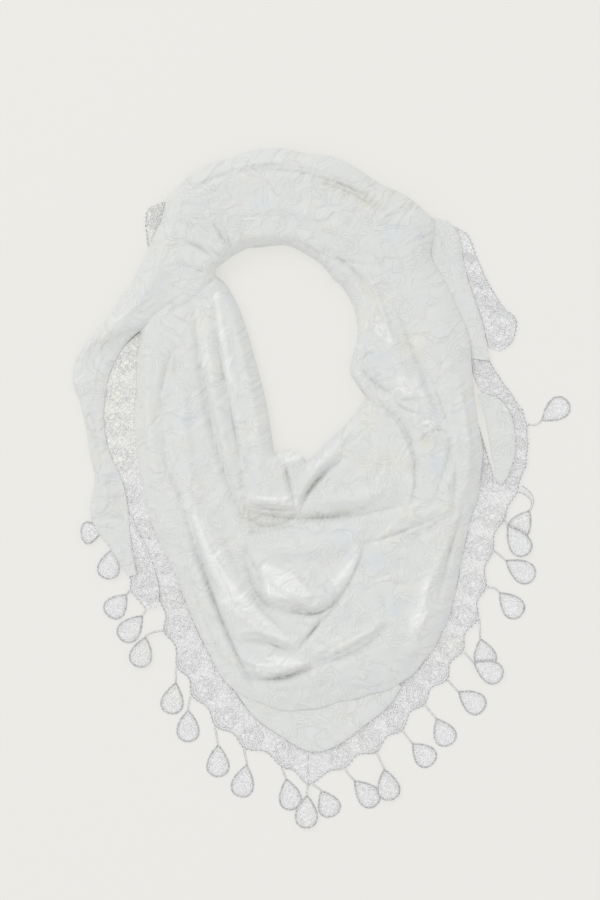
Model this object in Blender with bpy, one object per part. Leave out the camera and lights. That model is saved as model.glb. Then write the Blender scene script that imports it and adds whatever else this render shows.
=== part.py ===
"""Lace waist scarf, laid flat in a loose neck ring: cloth walls over its hidden folded layers, lace edging, drops.

X runs to the scarf's right, Y up towards its neck band, Z up from the surface it lies on. Blender works in metres.
The tables hold plan millimetres: x to the right and y down, from the top left corner of the layout board.
"""

import math
from collections import namedtuple

import bmesh
import bpy
import numpy as np

MM = 0.001
BOARD_CENTRE = (321.6, 488.8)

CLOTH_WALL = 1.6
LACE_WALL = 1.8
FLOOR_GAP = 0.3
SEAM_GAP = 0.3
LAYER_GAP = 0.7
LEAST_UPRIGHT = 0.42
INNER_ROUND = 16.0
WIDEST_OUTER_ROUND = 0.6
FOLDED_CROWN = 7.0
FOLD_FADE = 12.0
FOLD_STEPS = 18
FOLD_END_POWER = 0.6

# The hidden layers' stepped edge: each level's share of the shelf's height, and how far out it reaches.
LAYER_LEVELS = ((1.0, 0.86), (0.62, 0.86), (0.5, 0.55), (0.38, 0.86), (0.0, 0.86))
SHELF_SHARE = 0.5
LEAST_SHELF = 1.0

DROP_WIDTH = 23.0
DROP_THICKNESS = 1.8
DROP_STATIONS = (0.0, 0.16, 0.36, 0.56, 0.74, 0.88, 0.97)
DROP_PROFILE = ((1.0, 0.5), (0.72, 1.0), (-0.72, 1.0), (-1.0, 0.5), (-0.72, 0.0), (0.72, 0.0))
WIDEST_SHARE = 2 / 3
STEM_WIDTH = 1.8
STEM_THICKNESS = 1.3
STEM_STATIONS = (0.0, 0.34, 0.67)
ROOT_OVERLAP = 2.0

COLLECTION_NAME = "lace_waist_scarf"

Section = namedtuple("Section", "inner_x inner_y outer_x outer_y crown inner_rim outer_rim outer_round")

# The ring, from the pinch on the left down the left strand, round the front drape, up the right strand, over the top.
RING = [
    Section(217, 277, 141, 331, 8.5, 6.5, 5.0, 14),
    Section(228, 287, 138, 350, 12.0, 7.0, 5.0, 18),
    Section(243, 318, 136, 380, 15.0, 7.0, 5.0, 22),
    Section(256, 362, 135, 420, 16.0, 7.0, 5.0, 24),
    Section(266, 400, 138, 462, 16.5, 7.0, 5.0, 28),
    Section(272, 435, 148, 512, 17.0, 6.5, 5.0, 34),
    Section(275, 453, 163, 560, 17.0, 6.5, 5.0, 44),
    Section(283, 451, 174, 604, 16.5, 6.0, 5.0, 60),
    Section(292, 450, 192, 652, 16.0, 6.0, 5.8, 80),
    Section(300, 454, 220, 690, 16.0, 6.0, 6.8, 100),
    Section(304, 458, 254, 705, 16.0, 6.0, 7.0, 110),
    Section(307, 461, 305, 709, 16.0, 6.0, 7.0, 110),
    Section(311, 458, 345, 701, 16.0, 6.0, 7.0, 100),
    Section(318, 451, 382, 690, 16.5, 6.0, 7.0, 90),
    Section(326, 443, 412, 678, 17.0, 6.0, 6.4, 80),
    Section(336, 433, 438, 650, 17.0, 6.5, 5.0, 66),
    Section(348, 422, 455, 612, 17.5, 6.5, 5.0, 52),
    Section(359, 407, 463, 565, 18.0, 7.0, 5.0, 40),
    Section(365, 397, 474, 527, 18.0, 7.0, 5.0, 34),
    Section(358, 386, 480, 495, 18.0, 7.0, 5.0, 30),
    Section(351, 376, 481, 460, 18.5, 7.0, 5.0, 26),
    Section(350, 366, 479, 425, 19.0, 7.0, 6.6, 22),
    Section(353, 354, 474, 391, 19.5, 7.0, 7.6, 20),
    Section(357, 340, 470, 355, 20.0, 7.0, 8.0, 18),
    Section(357, 323, 465, 328, 20.5, 7.0, 8.2, 18),
    Section(352, 305, 451, 292, 21.0, 7.0, 8.4, 18),
    Section(343, 289, 431, 257, 21.5, 7.0, 8.4, 18),
    Section(333, 279, 437, 222, 22.0, 7.5, 8.4, 18),
    Section(321, 265, 416, 202, 22.5, 8.0, 8.0, 20),
    Section(306, 255, 386, 187, 23.0, 8.0, 8.0, 20),
    Section(290, 247, 356, 168, 23.0, 8.0, 8.0, 20),
    Section(275, 246, 316, 154, 23.0, 8.0, 8.0, 20),
    Section(260, 248, 270, 150, 23.0, 8.0, 8.0, 20),
    Section(248, 249, 230, 158, 23.0, 8.5, 8.0, 20),
    Section(238, 254, 203, 167, 23.0, 9.0, 7.5, 20),
    Section(228, 260, 184, 181, 23.0, 10.0, 7.0, 20),
    Section(221, 266, 168, 197, 22.5, 11.0, 6.5, 20),
]
ROLL_EDGE = 0.17

# The wrap over the pinch and the loose left tail that runs on from it, from the neck band's last section.
TAIL = [
    RING[-1],
    Section(217, 269, 160, 221, 22.0, 13.5, 6.5, 20),
    Section(215, 272, 149, 247, 21.5, 14.5, 6.0, 20),
    Section(210, 278, 138, 272, 21.0, 15.0, 5.0, 20),
    Section(201, 288, 124, 294, 20.0, 15.0, 5.0, 20),
    Section(186, 301, 108, 318, 18.0, 14.5, 5.0, 20),
    Section(167, 314, 92, 338, 15.5, 13.5, 5.0, 18),
    Section(147, 327, 78, 356, 12.5, 11.5, 4.0, 16),
    Section(127, 343, 73, 372, 8.5, 8.0, 3.0, 14),
    Section(113, 366, 74, 387, 6.5, 5.5, 2.4, 10),
    Section(106, 391, 80, 403, 6.0, 5.0, 2.2, 10),
    Section(104, 420, 86, 428, 5.8, 5.0, 2.2, 8),
    Section(107, 450, 90, 454, 5.8, 5.0, 2.2, 8),
    Section(112, 480, 95, 478, 5.8, 5.0, 2.2, 8),
    Section(118, 501, 91, 500, 5.6, 5.0, 2.2, 8),
    Section(122, 516, 91, 517, 5.2, 4.6, 2.6, 8),
]
WRAP_END = 8

# The single lower layer that shows below the front drape, from under the drape's last fold to its edging.
HEM_LAYER = [
    Section(220, 683, 224, 696, 4.4, 4.2, 4.2, 8),
    Section(247, 697, 251, 721, 4.4, 4.2, 4.2, 8),
    Section(272, 701, 279, 739, 4.4, 4.2, 4.2, 8),
    Section(302, 704, 309, 751, 4.4, 4.2, 4.2, 8),
    Section(328, 700, 335, 746, 4.4, 4.2, 4.2, 8),
    Section(352, 694, 362, 727, 4.4, 4.2, 4.2, 8),
    Section(376, 687, 388, 706, 4.4, 4.2, 4.2, 8),
    Section(396, 679, 401, 687, 4.4, 4.2, 4.2, 8),
]

# The right tail lies under the right strand in two turns, each with its own edging.
RIGHT_TAIL_UPPER = [
    Section(436, 226, 449, 226, 4.6, 4.0, 4.2, 6),
    Section(426, 243, 460, 240, 4.6, 4.0, 4.2, 6),
    Section(427, 262, 463, 260, 4.6, 4.0, 4.2, 6),
    Section(444, 284, 468, 281, 4.6, 4.0, 4.2, 6),
    Section(456, 304, 475, 301, 4.6, 4.0, 4.2, 6),
    Section(464, 324, 481, 319, 4.6, 4.0, 4.2, 6),
    Section(467, 340, 485, 336, 4.6, 4.0, 4.2, 6),
    Section(468, 350, 487, 347, 4.6, 4.0, 4.2, 6),
]
RIGHT_TAIL_LOWER = [
    Section(470, 352, 487, 354, 4.6, 4.2, 4.2, 6),
    Section(474, 370, 492, 370, 4.6, 4.2, 4.2, 6),
    Section(478, 391, 503, 388, 5.0, 4.8, 4.2, 6),
    Section(483, 412, 511, 408, 5.2, 5.0, 4.2, 6),
    Section(487, 430, 515, 428, 5.2, 5.0, 4.2, 6),
    Section(490, 450, 515, 451, 5.2, 5.0, 4.2, 6),
    Section(494, 468, 509, 473, 5.0, 4.8, 4.2, 6),
    Section(495, 480, 501, 486, 4.6, 4.2, 4.2, 6),
]

Edging = namedtuple("Edging", "inner_x inner_y outer_x outer_y scallop")

# Lace edging, a row for each scallop peak, from its sewn inner edge to its outer edge.
FRONT_LEFT_EDGING = [
    Edging(141, 337, 131, 342, 0),
    Edging(140, 360, 112, 364, 0),
    Edging(139, 392, 103, 394, 0),
    Edging(140, 425, 102, 424, 0),
    Edging(144, 460, 105, 458, 0),
    Edging(151, 495, 113, 492, 0),
    Edging(161, 530, 131, 527, 0),
    Edging(172, 566, 145, 562, 0),
    Edging(181, 598, 158, 598, 2),
    Edging(187, 624, 163, 631, 6),
    Edging(200, 655, 176, 667, 6),
    Edging(217, 683, 191, 696, 6),
    Edging(238, 701, 215, 727, 6),
    Edging(259, 721, 244, 749, 6),
    Edging(286, 741, 282, 768, 6),
    Edging(307, 749, 307, 786, 0),
]
FRONT_RIGHT_EDGING = [
    Edging(477, 489, 520, 493, 0),
    Edging(474, 512, 506, 519, 4),
    Edging(464, 545, 494, 551, 4),
    Edging(457, 580, 487, 587, 5),
    Edging(450, 612, 479, 619, 6),
    Edging(438, 640, 464, 651, 6),
    Edging(422, 663, 448, 680, 6),
    Edging(402, 677, 425, 705, 6),
    Edging(384, 699, 403, 731, 6),
    Edging(361, 723, 377, 753, 6),
    Edging(335, 742, 345, 769, 6),
    Edging(308, 749, 308, 786, 0),
]
RIGHT_INNER_EDGING = [
    Edging(468, 388, 483, 388, 0),
    Edging(472, 412, 488, 412, 0),
    Edging(474, 440, 493, 440, 0),
    Edging(475, 468, 497, 468, 0),
    Edging(476, 487, 495, 486, 0),
]
RIGHT_CORNER_EDGING = [
    Edging(446, 224, 456, 227, 0),
    Edging(457, 237, 469, 236, 0),
    Edging(461, 257, 478, 258, 0),
    Edging(466, 279, 489, 283, 0),
    Edging(473, 300, 504, 307, 0),
    Edging(479, 319, 517, 320, 0),
    Edging(483, 335, 513, 342, 0),
    Edging(487, 347, 500, 352, 0),
]
RIGHT_TAIL_EDGING = [
    Edging(484, 353, 489, 355, 0),
    Edging(489, 371, 497, 375, 1),
    Edging(499, 389, 512, 396, 1),
    Edging(507, 408, 526, 419, 1),
    Edging(511, 428, 528, 434, 1),
    Edging(511, 450, 528, 456, 1),
    Edging(505, 471, 524, 476, 1),
    Edging(498, 485, 521, 489, 0),
]
LEFT_TAIL_EDGING = [
    Edging(122.3, 516.4, 91, 517.4, 0),
    Edging(127, 531, 98, 532, 1),
    Edging(134, 547, 109, 547, 2),
    Edging(141, 562, 122, 564, 1),
    Edging(147, 578, 129, 577, 1),
    Edging(152, 592, 130, 591, 1),
    Edging(155, 604, 146, 609, 0),
]
TOP_LEFT_EDGING = [
    Edging(169, 203, 163, 202, 0),
    Edging(166, 212, 148, 209, 0),
    Edging(164, 224, 145, 222, 0),
    Edging(158, 237, 146, 237, 0),
    Edging(152, 246, 147, 247, 0),
]

Fold = namedtuple("Fold", "x1 y1 x2 y2 x3 y3 left right rise")

# The largest folds, each along a curve through three points, with how far it reaches to the left and to the right
# of that way, and how high it stands. A trough has a negative rise.
FOLDS = [
    Fold(228, 296, 250, 385, 262, 470, 8, 9, 4.0),
    Fold(214, 292, 226, 390, 250, 480, 6, 6, -4.5),
    Fold(206, 330, 222, 430, 246, 512, 8, 9, 3.5),
    Fold(195, 308, 211, 425, 246, 525, 6, 7, -5.5),
    Fold(188, 365, 185, 440, 204, 510, 11, 12, 4.5),
    Fold(178, 345, 161, 405, 174, 470, 7, 7, -4.0),
    Fold(150, 350, 149, 425, 166, 515, 9, 9, 3.5),
    Fold(174, 468, 211, 592, 256, 690, 9, 6, -6.0),
    Fold(188, 500, 232, 588, 290, 640, 13, 15, 7.0),
    Fold(222, 532, 254, 597, 302, 645, 10, 5, -4.0),
    Fold(240, 492, 270, 499, 300, 495, 8, 6, 4.5),
    Fold(243, 508, 315, 519, 408, 503, 12, 8, -7.0),
    Fold(306, 498, 350, 500, 396, 488, 12, 8, 3.5),
    Fold(262, 548, 312, 548, 370, 532, 14, 14, 4.0),
    Fold(245, 548, 262, 600, 302, 613, 9, 7, -7.0),
    Fold(298, 613, 326, 609, 344, 584, 9, 7, -7.0),
    Fold(266, 568, 285, 588, 312, 600, 14, 7, 6.0),
    Fold(328, 592, 346, 568, 360, 546, 8, 7, 4.5),
    Fold(298, 648, 318, 624, 342, 600, 6, 8, -4.0),
    Fold(238, 643, 265, 643, 298, 653, 6, 7, -4.0),
    Fold(238, 654, 266, 664, 312, 660, 9, 6, 6.0),
    Fold(240, 676, 276, 678, 322, 664, 8, 8, -6.0),
    Fold(316, 664, 352, 652, 388, 626, 6, 8, -5.5),
    Fold(312, 654, 350, 641, 386, 618, 8, 6, 3.5),
    Fold(438, 556, 424, 598, 414, 642, 9, 9, 5.5),
    Fold(458, 520, 447, 558, 437, 604, 6, 6, -4.0),
    Fold(360, 544, 402, 531, 455, 508, 6, 8, -4.0),
    Fold(372, 300, 400, 370, 420, 440, 12, 12, 4.0),
    Fold(392, 300, 416, 362, 442, 430, 8, 8, -4.0),
    Fold(352, 354, 378, 386, 414, 402, 7, 7, -4.5),
    Fold(370, 402, 408, 436, 412, 505, 8, 8, -4.0),
    Fold(455, 376, 468, 440, 462, 505, 8, 8, 3.5),
    Fold(448, 436, 454, 480, 450, 522, 6, 7, -3.5),
    Fold(188, 194, 285, 172, 402, 216, 6, 9, -6.0),
    Fold(312, 182, 352, 196, 394, 224, 5, 6, -3.5),
    Fold(245, 210, 312, 216, 382, 262, 14, 14, 3.5),
    Fold(318, 250, 352, 270, 374, 306, 7, 7, -4.0),
    Fold(231, 250, 222, 238, 214, 224, 5, 5, -4.0),
    Fold(216, 262, 200, 249, 184, 243, 5, 5, -4.0),
    Fold(212, 277, 196, 270, 178, 266, 5, 6, -3.5),
    Fold(180, 252, 140, 300, 96, 352, 12, 12, 2.5),
    Fold(300, 516, 314, 484, 346, 456, 7, 6, -7.0),
    Fold(304, 490, 318, 464, 344, 438, 8, 8, 4.5),
    Fold(283, 456, 290, 486, 296, 512, 6, 6, -5.5),
]

Drop = namedtuple("Drop", "edging row bend_x bend_y tip_x tip_y end_x end_y stem over")

# The drops along the edging, anticlockwise from the left tail: the edging row that the stem leaves, where it bends,
# the drop's tip and its round end, the stem's width, and 1 where the drop lies over its neighbour.
DROPS = [
    Drop(LEFT_TAIL_EDGING, 1, 104, 532, 102, 532, 81, 533, 3.0, 1),
    Drop(LEFT_TAIL_EDGING, 2, 112, 548, 112, 549, 107, 579, 3.0, 1),
    Drop(LEFT_TAIL_EDGING, 5, 128, 593, 127, 594, 108, 616, 3.0, 0),
    Drop(LEFT_TAIL_EDGING, 6, 145, 612, 143, 615, 121, 640, 1.8, 0),
    Drop(FRONT_LEFT_EDGING, 9, 152, 631, 146, 636, 138, 667, 1.8, 1),
    Drop(FRONT_LEFT_EDGING, 10, 176, 676, 176, 682, 170, 714, 1.8, 0),
    Drop(FRONT_LEFT_EDGING, 11, 189, 703, 188, 709, 188, 742, 1.8, 0),
    Drop(FRONT_LEFT_EDGING, 12, 217, 737, 218, 744, 218, 777, 1.8, 0),
    Drop(FRONT_LEFT_EDGING, 13, 246, 758, 247, 764, 240, 797, 1.8, 0),
    Drop(FRONT_LEFT_EDGING, 14, 284, 774, 286, 778, 293, 810, 1.8, 0),
    Drop(FRONT_LEFT_EDGING, 15, 307, 791, 307, 794, 306, 828, 1.8, 1),
    Drop(FRONT_RIGHT_EDGING, 10.88, 317, 787, 321, 790, 334, 816, 1.8, 0),
    Drop(FRONT_RIGHT_EDGING, 10, 350, 776, 354, 780, 377, 805, 1.8, 0),
    Drop(FRONT_RIGHT_EDGING, 9, 381, 762, 384, 768, 391, 800, 1.8, 1),
    Drop(FRONT_RIGHT_EDGING, 8, 408, 738, 412, 743, 433, 764, 1.8, 0),
    Drop(FRONT_RIGHT_EDGING, 7, 431, 713, 436, 718, 450, 745, 1.8, 0),
    Drop(FRONT_RIGHT_EDGING, 6, 453, 687, 458, 691, 484, 710, 1.8, 0),
    Drop(FRONT_RIGHT_EDGING, 5, 469, 657, 473, 662, 502, 678, 1.8, 1),
    Drop(FRONT_RIGHT_EDGING, 4, 480, 630, 480, 638, 488, 668, 1.8, 0),
    Drop(FRONT_RIGHT_EDGING, 3, 495, 587, 499, 592, 521, 616, 1.8, 0),
    Drop(FRONT_RIGHT_EDGING, 2, 501, 556, 505, 560, 534, 579, 1.8, 0),
    Drop(FRONT_RIGHT_EDGING, 1, 506, 523, 507, 525, 527, 555, 1.8, 1),
    Drop(FRONT_RIGHT_EDGING, 0, 538, 497, 530, 510, 513, 537, 8.0, 0),
    Drop(RIGHT_TAIL_EDGING, 3.3, 535, 427, 541, 421, 568, 401, 1.8, 0),
]


def spline_rows(table, at):
    """The table's columns at fractional row numbers, on a smooth curve through its rows."""
    rows = np.array(table, float)
    last = len(rows) - 1
    padded = np.vstack([2 * rows[0] - rows[1], rows, 2 * rows[-1] - rows[-2]])
    first = np.clip(np.floor(at).astype(int), 0, last - 1)
    t = (at - first)[..., None]
    before, start, end, after = (padded[first + k] for k in range(4))
    return 0.5 * (
        2 * start
        + (end - before) * t
        + (2 * before - 5 * start + 4 * end - after) * t**2
        + (3 * start - before - 3 * end + after) * t**3
    )


def rounded(distance, radius):
    """0 at an edge and 1 at the radius from it, along a quarter of an ellipse."""
    t = np.clip(distance / radius, 0, 1)
    return np.sqrt(np.maximum(0, 1 - (1 - t) ** 2))


def fold_relief(x, y):
    """How far the folds raise or lower the cloth at these plan points, in millimetres."""
    relief = np.zeros_like(x)
    for fold in FOLDS:
        t = np.linspace(0, 1, FOLD_STEPS + 1)
        start, middle, end = (np.array(fold[k : k + 2], float) for k in (0, 2, 4))
        control = 2 * middle - (start + end) / 2
        path = np.outer((1 - t) ** 2, start) + np.outer(2 * t * (1 - t), control) + np.outer(t**2, end)
        nearest = np.full(x.shape, np.inf)
        height = np.zeros_like(x)
        for k in range(FOLD_STEPS):
            step = path[k + 1] - path[k]
            length = math.hypot(*step)
            along = ((x - path[k, 0]) * step[0] + (y - path[k, 1]) * step[1]) / length**2
            on = np.clip(along, 0, 1)
            away_x = x - path[k, 0] - on * step[0]
            away_y = y - path[k, 1] - on * step[1]
            away = np.hypot(away_x, away_y)
            on_left = away_x * step[1] - away_y * step[0] > 0
            reach = np.where(on_left, fold.left, fold.right)
            ends = np.sin(np.pi * np.clip((k + on) / FOLD_STEPS, 0, 1)) ** FOLD_END_POWER
            bump = fold.rise * ends * (1 + np.cos(np.pi * np.minimum(away / reach, 1))) / 2
            closer = away < nearest
            height = np.where(closer, bump, height)
            nearest = np.minimum(nearest, away)
        relief += height
    return relief


def cloth_surface(table, row, across):
    """Points of the cloth's upper face, in plan millimetres and height, at these rows and shares of the width."""
    r = dict(zip(Section._fields, np.moveaxis(spline_rows(table, row), -1, 0)))
    width = np.hypot(r["outer_x"] - r["inner_x"], r["outer_y"] - r["inner_y"])
    x = r["inner_x"] + (r["outer_x"] - r["inner_x"]) * across
    y = r["inner_y"] + (r["outer_y"] - r["inner_y"]) * across
    inner_round = np.minimum(INNER_ROUND, width / 3)
    outer_round = np.minimum(r["outer_round"], width * WIDEST_OUTER_ROUND)
    from_inner = across * width
    from_outer = (1 - across) * width
    rim = r["inner_rim"] + (r["outer_rim"] - r["inner_rim"]) * across
    full = rounded(from_inner, inner_round) * rounded(from_outer, outer_round)
    edge_fade = np.clip(np.minimum(from_inner, from_outer) / FOLD_FADE, 0, 1)
    folds = fold_relief(x, y) * edge_fade * (r["crown"] > FOLDED_CROWN)
    z = rim + (r["crown"] - rim) * full + folds
    return np.stack([x, y, z], axis=-1)


def eased(count, first=0.0, last=1.0):
    """Shares of the width, closer together near the two edges."""
    t = np.linspace(0, 1, count + 1)
    even_share = 0.55
    return first + (last - first) * (even_share * t + (1 - even_share) * (1 - np.cos(np.pi * t)) / 2)


def drawn_in(points, sides):
    """The grid's points with the named sides moved in by half a seam's gap."""
    points = points.copy()
    pairs = {"first": (0, 1), "last": (-1, -2)}
    for side in sides:
        axis, end = side.split("_")
        edge, inside = pairs[end]
        grid = points if axis == "row" else points.swapaxes(0, 1)
        step = grid[inside] - grid[edge]
        grid[edge] += step / np.linalg.norm(step[:, :2], axis=1, keepdims=True) * SEAM_GAP / 2
    return points


def to_world(points):
    """Plan millimetres to metres about the board's centre."""
    x, y, z = np.moveaxis(np.asarray(points, float), -1, 0)
    return np.stack([x - BOARD_CENTRE[0], BOARD_CENTRE[1] - y, z], axis=-1) * MM


def upright_share(points):
    """The upward part of the unit normal at each point of the grid."""
    along = np.gradient(points, axis=0)
    across = np.gradient(points, axis=1)
    normal = np.cross(along, across)
    return np.maximum(np.abs(normal[..., 2]) / np.linalg.norm(normal, axis=-1), LEAST_UPRIGHT)


def material(name, colour, roughness):
    made = bpy.data.materials.get(name) or bpy.data.materials.new(name)
    made.use_nodes = True
    shader = made.node_tree.nodes["Principled BSDF"]
    shader.inputs["Base Color"].default_value = (*colour, 1)
    shader.inputs["Roughness"].default_value = roughness
    shader.inputs["Metallic"].default_value = 0.0
    made.diffuse_color = (*colour, 1)
    return made


def cloth_material(name):
    return material(f"{name}_cloth", (0.86, 0.87, 0.86), 0.7)


def lace_material(name):
    return material(f"{name}_lace", (0.80, 0.81, 0.81), 0.6)


def new_object(name, bm, finish):
    """Adds the finished bmesh to the scarf's collection, with its faces pointing out."""
    bmesh.ops.recalc_face_normals(bm, faces=bm.faces)
    mesh = bpy.data.meshes.new(name)
    bm.to_mesh(mesh)
    bm.free()
    mesh.shade_smooth()
    mesh.set_sharp_from_angle(angle=math.radians(50))
    mesh.materials.append(finish)
    made = bpy.data.objects.new(name, mesh)
    bpy.data.collections[COLLECTION_NAME].objects.link(made)
    return made


def grid_sheet(points):
    """A bmesh grid with its vertices at these rows and columns of points, in plan millimetres."""
    rows, columns = points.shape[:2]
    bm = bmesh.new()
    bmesh.ops.create_grid(bm, x_segments=columns - 1, y_segments=rows - 1, size=0.5)
    world = to_world(points)
    for vertex in bm.verts:
        column = round((vertex.co.x + 0.5) * (columns - 1))
        row = round((vertex.co.y + 0.5) * (rows - 1))
        vertex.co = world[row, column]
        vertex.index = row * columns + column
    return bm


def walled_sheet(name, points, drop, finish):
    """A closed wall from the grid's points down by the given drops, a length for each point."""
    columns = points.shape[1]
    bm = grid_sheet(points)
    place = {tuple(v.co): divmod(v.index, columns) for v in bm.verts}
    lower = bmesh.ops.extrude_face_region(bm, geom=bm.faces[:] + bm.edges[:] + bm.verts[:])
    for vertex in lower["geom"]:
        if isinstance(vertex, bmesh.types.BMVert):
            vertex.co.z -= drop[place[tuple(vertex.co)]] * MM
    return new_object(name, bm, finish)


def cloth_wall(name, points, seams=()):
    points = drawn_in(points, seams)
    return walled_sheet(name, points, CLOTH_WALL / upright_share(points), cloth_material(name))


def layered_core(name, points, set_in, flare):
    """The hidden layers under a stretch of cloth: one solid with a flat base and ridged, layered edges.

    For the stretch's inner and outer side, set_in tells how many columns in the solid starts, and flare what share
    of the way back out its layers reach.
    """
    drop = (CLOTH_WALL + LAYER_GAP) / upright_share(points)
    top = points.copy()
    top[..., 2] -= drop
    columns_kept = slice(set_in[0], top.shape[1] - set_in[1])
    inner = drawn_in(top[:, columns_kept], ("row_first", "row_last"))
    inner = drawn_in(inner, ("row_first", "row_last"))
    rows, columns = inner.shape[:2]
    bm = grid_sheet(inner)
    bm.verts.sort()
    bm.verts.ensure_lookup_table()
    loop = [(0, c) for c in range(columns)]
    loop += [(r, columns - 1) for r in range(1, rows)]
    loop += [(rows - 1, c) for c in range(columns - 2, -1, -1)]
    loop += [(r, 0) for r in range(rows - 2, 0, -1)]
    upper = [bm.verts[r * columns + c] for r, c in loop]
    for height_share, reach in LAYER_LEVELS:
        ring = []
        for r, c in loop:
            point = inner[r, c].copy()
            side = {0: 0, columns - 1: 1}.get(c)
            shelf = max(point[2] * SHELF_SHARE, LEAST_SHELF)
            if side is not None and flare[side]:
                rim = top[r, -1 if side else 0]
                shelf = max(rim[2] - LAYER_GAP, LEAST_SHELF)
                point[:2] += (rim[:2] - point[:2]) * flare[side] * reach
            point[2] = shelf * height_share
            ring.append(bm.verts.new(to_world(point)))
        for k in range(len(loop)):
            after = (k + 1) % len(loop)
            bm.faces.new((upper[k], upper[after], ring[after], ring[k]))
        upper = ring
    bm.faces.new(upper)
    return new_object(name, bm, material(f"{name}_layers", (0.82, 0.83, 0.82), 0.75))


def edging_points(table, row, across):
    """Plan points of an edging whose scallops peak at the table's rows, at these rows and shares of its width."""
    e = dict(zip(Edging._fields, np.moveaxis(spline_rows(table, row), -1, 0)))
    width = np.hypot(e["outer_x"] - e["inner_x"], e["outer_y"] - e["inner_y"])
    dip = e["scallop"] * np.sin(np.pi * row) ** 2
    share = across * (1 - dip / width)
    x = e["inner_x"] + (e["outer_x"] - e["inner_x"]) * share
    y = e["inner_y"] + (e["outer_y"] - e["inner_y"]) * share
    return np.stack([x, y], axis=-1)


def edging(name, table, rows_each, columns):
    at = np.linspace(0, len(table) - 1, rows_each * (len(table) - 1) + 1)
    row, across = np.meshgrid(at, np.linspace(0, 1, columns + 1), indexing="ij")
    plan = edging_points(table, row, across)
    points = np.concatenate([plan, np.full((*row.shape, 1), LACE_WALL)], axis=-1)
    return walled_sheet(name, points, np.full(row.shape, LACE_WALL), lace_material(name))


def drop_outline(share):
    """Half the width of a drop, as a share of its greatest half width, from its tip at 0 to its end at 1."""
    return share * math.sqrt(1 - share) / (WIDEST_SHARE * math.sqrt(1 - WIDEST_SHARE))


def drop_root(drop):
    """Where the stem starts: a seam's gap off the lace's edge, or over it where the drop lies over its neighbour."""
    inner, outer = (edging_points(drop.edging, np.array(drop.row, float), share) for share in (0.0, 1.0))
    outward = (outer - inner) / np.linalg.norm(outer - inner)
    if drop.over:
        return outer - outward * ROOT_OVERLAP
    heading = np.array([drop.bend_x, drop.bend_y]) - outer
    slant = abs(outward[0] * heading[1] - outward[1] * heading[0]) / np.linalg.norm(heading)
    return outer + outward * (SEAM_GAP + slant * drop.stem / 2)


def drop_sections(drop):
    """(x, y, heading, half width, thickness) along a drop, from its root to its round end."""
    root = drop_root(drop)
    bend = np.array([drop.bend_x, drop.bend_y], float)
    tip = np.array([drop.tip_x, drop.tip_y], float)
    end = np.array([drop.end_x, drop.end_y], float)
    stations = []
    for t in STEM_STATIONS:
        centre = (1 - t) ** 2 * root + 2 * t * (1 - t) * bend + t**2 * tip
        stations.append((centre, drop.stem / 2, STEM_THICKNESS))
    for share in DROP_STATIONS:
        half = max(drop_outline(share) * DROP_WIDTH / 2, STEM_WIDTH / 2)
        thick = STEM_THICKNESS + (DROP_THICKNESS - STEM_THICKNESS) * min(1, share * 4)
        stations.append((tip + (end - tip) * share, half, thick))
    centres = np.array([centre for centre, _, _ in stations])
    ahead = np.vstack([centres[1:], centres[-1:]]) - np.vstack([centres[:1], centres[:-1]])
    headings = np.arctan2(ahead[:, 1], ahead[:, 0])
    return [(*centre, heading, half, thick) for (centre, half, thick), heading in zip(stations, headings)]


def lace_drop(name, drop):
    """A flat drop on its stem, lofted along its middle through six-sided sections."""
    low = FLOOR_GAP + drop.over * (DROP_THICKNESS + FLOOR_GAP)
    bm = bmesh.new()
    before = None
    for x, y, heading, half, thick in drop_sections(drop):
        ring = []
        for side, height in DROP_PROFILE:
            place = (
                x - math.sin(heading) * half * side,
                y + math.cos(heading) * half * side,
                low + thick * height,
            )
            ring.append(bm.verts.new(to_world(place)))
        if before:
            for k in range(len(DROP_PROFILE)):
                after = (k + 1) % len(DROP_PROFILE)
                bm.faces.new((before[k], before[after], ring[after], ring[k]))
        else:
            bm.faces.new(ring)
        before = ring
    bm.faces.new(before)
    return new_object(name, bm, lace_material("drop"))


def ring_stretch(first, last, rows, across):
    row, share = np.meshgrid(np.linspace(first, last, rows + 1), across, indexing="ij")
    return cloth_surface(RING, row, share)


def table_stretch(table, first, last, rows, columns):
    row, share = np.meshgrid(np.linspace(first, last, rows + 1), eased(columns), indexing="ij")
    return cloth_surface(table, row, share)


def build_ring():
    """The four stretches of the ring and the roll along its lower inner edge, over their hidden layers."""
    left = ring_stretch(0, 6, 9, eased(15))
    roll_across = eased(4, 0.0, ROLL_EDGE)
    drape_across = ROLL_EDGE + (1 - ROLL_EDGE) * np.linspace(0, 1, 15) ** 0.95
    front = ring_stretch(6, 18, 24, np.concatenate([roll_across, drape_across[1:]]))
    right = ring_stretch(18, 27, 13, eased(14))
    band = ring_stretch(27, 36, 14, eased(11))
    split = len(roll_across) - 1
    ends = ("row_first", "row_last")
    cloth_wall("left_strand", left, ("row_last",))
    cloth_wall("inner_roll", front[:, : split + 1], ends + ("column_last",))
    cloth_wall("front_drape", front[:, split:], ends + ("column_first",))
    cloth_wall("right_strand", right, ends)
    cloth_wall("neck_band", band, ends)
    layered_core("hidden_layers_left", left, (1, 3), (0.9, 0.0))
    layered_core("hidden_layers_front", front, (1, 2), (0.9, 0.0))
    layered_core("hidden_layers_right", right, (1, 3), (0.9, 0.0))
    layered_core("hidden_layers_band", band, (1, 1), (0.9, 0.9))


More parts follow.
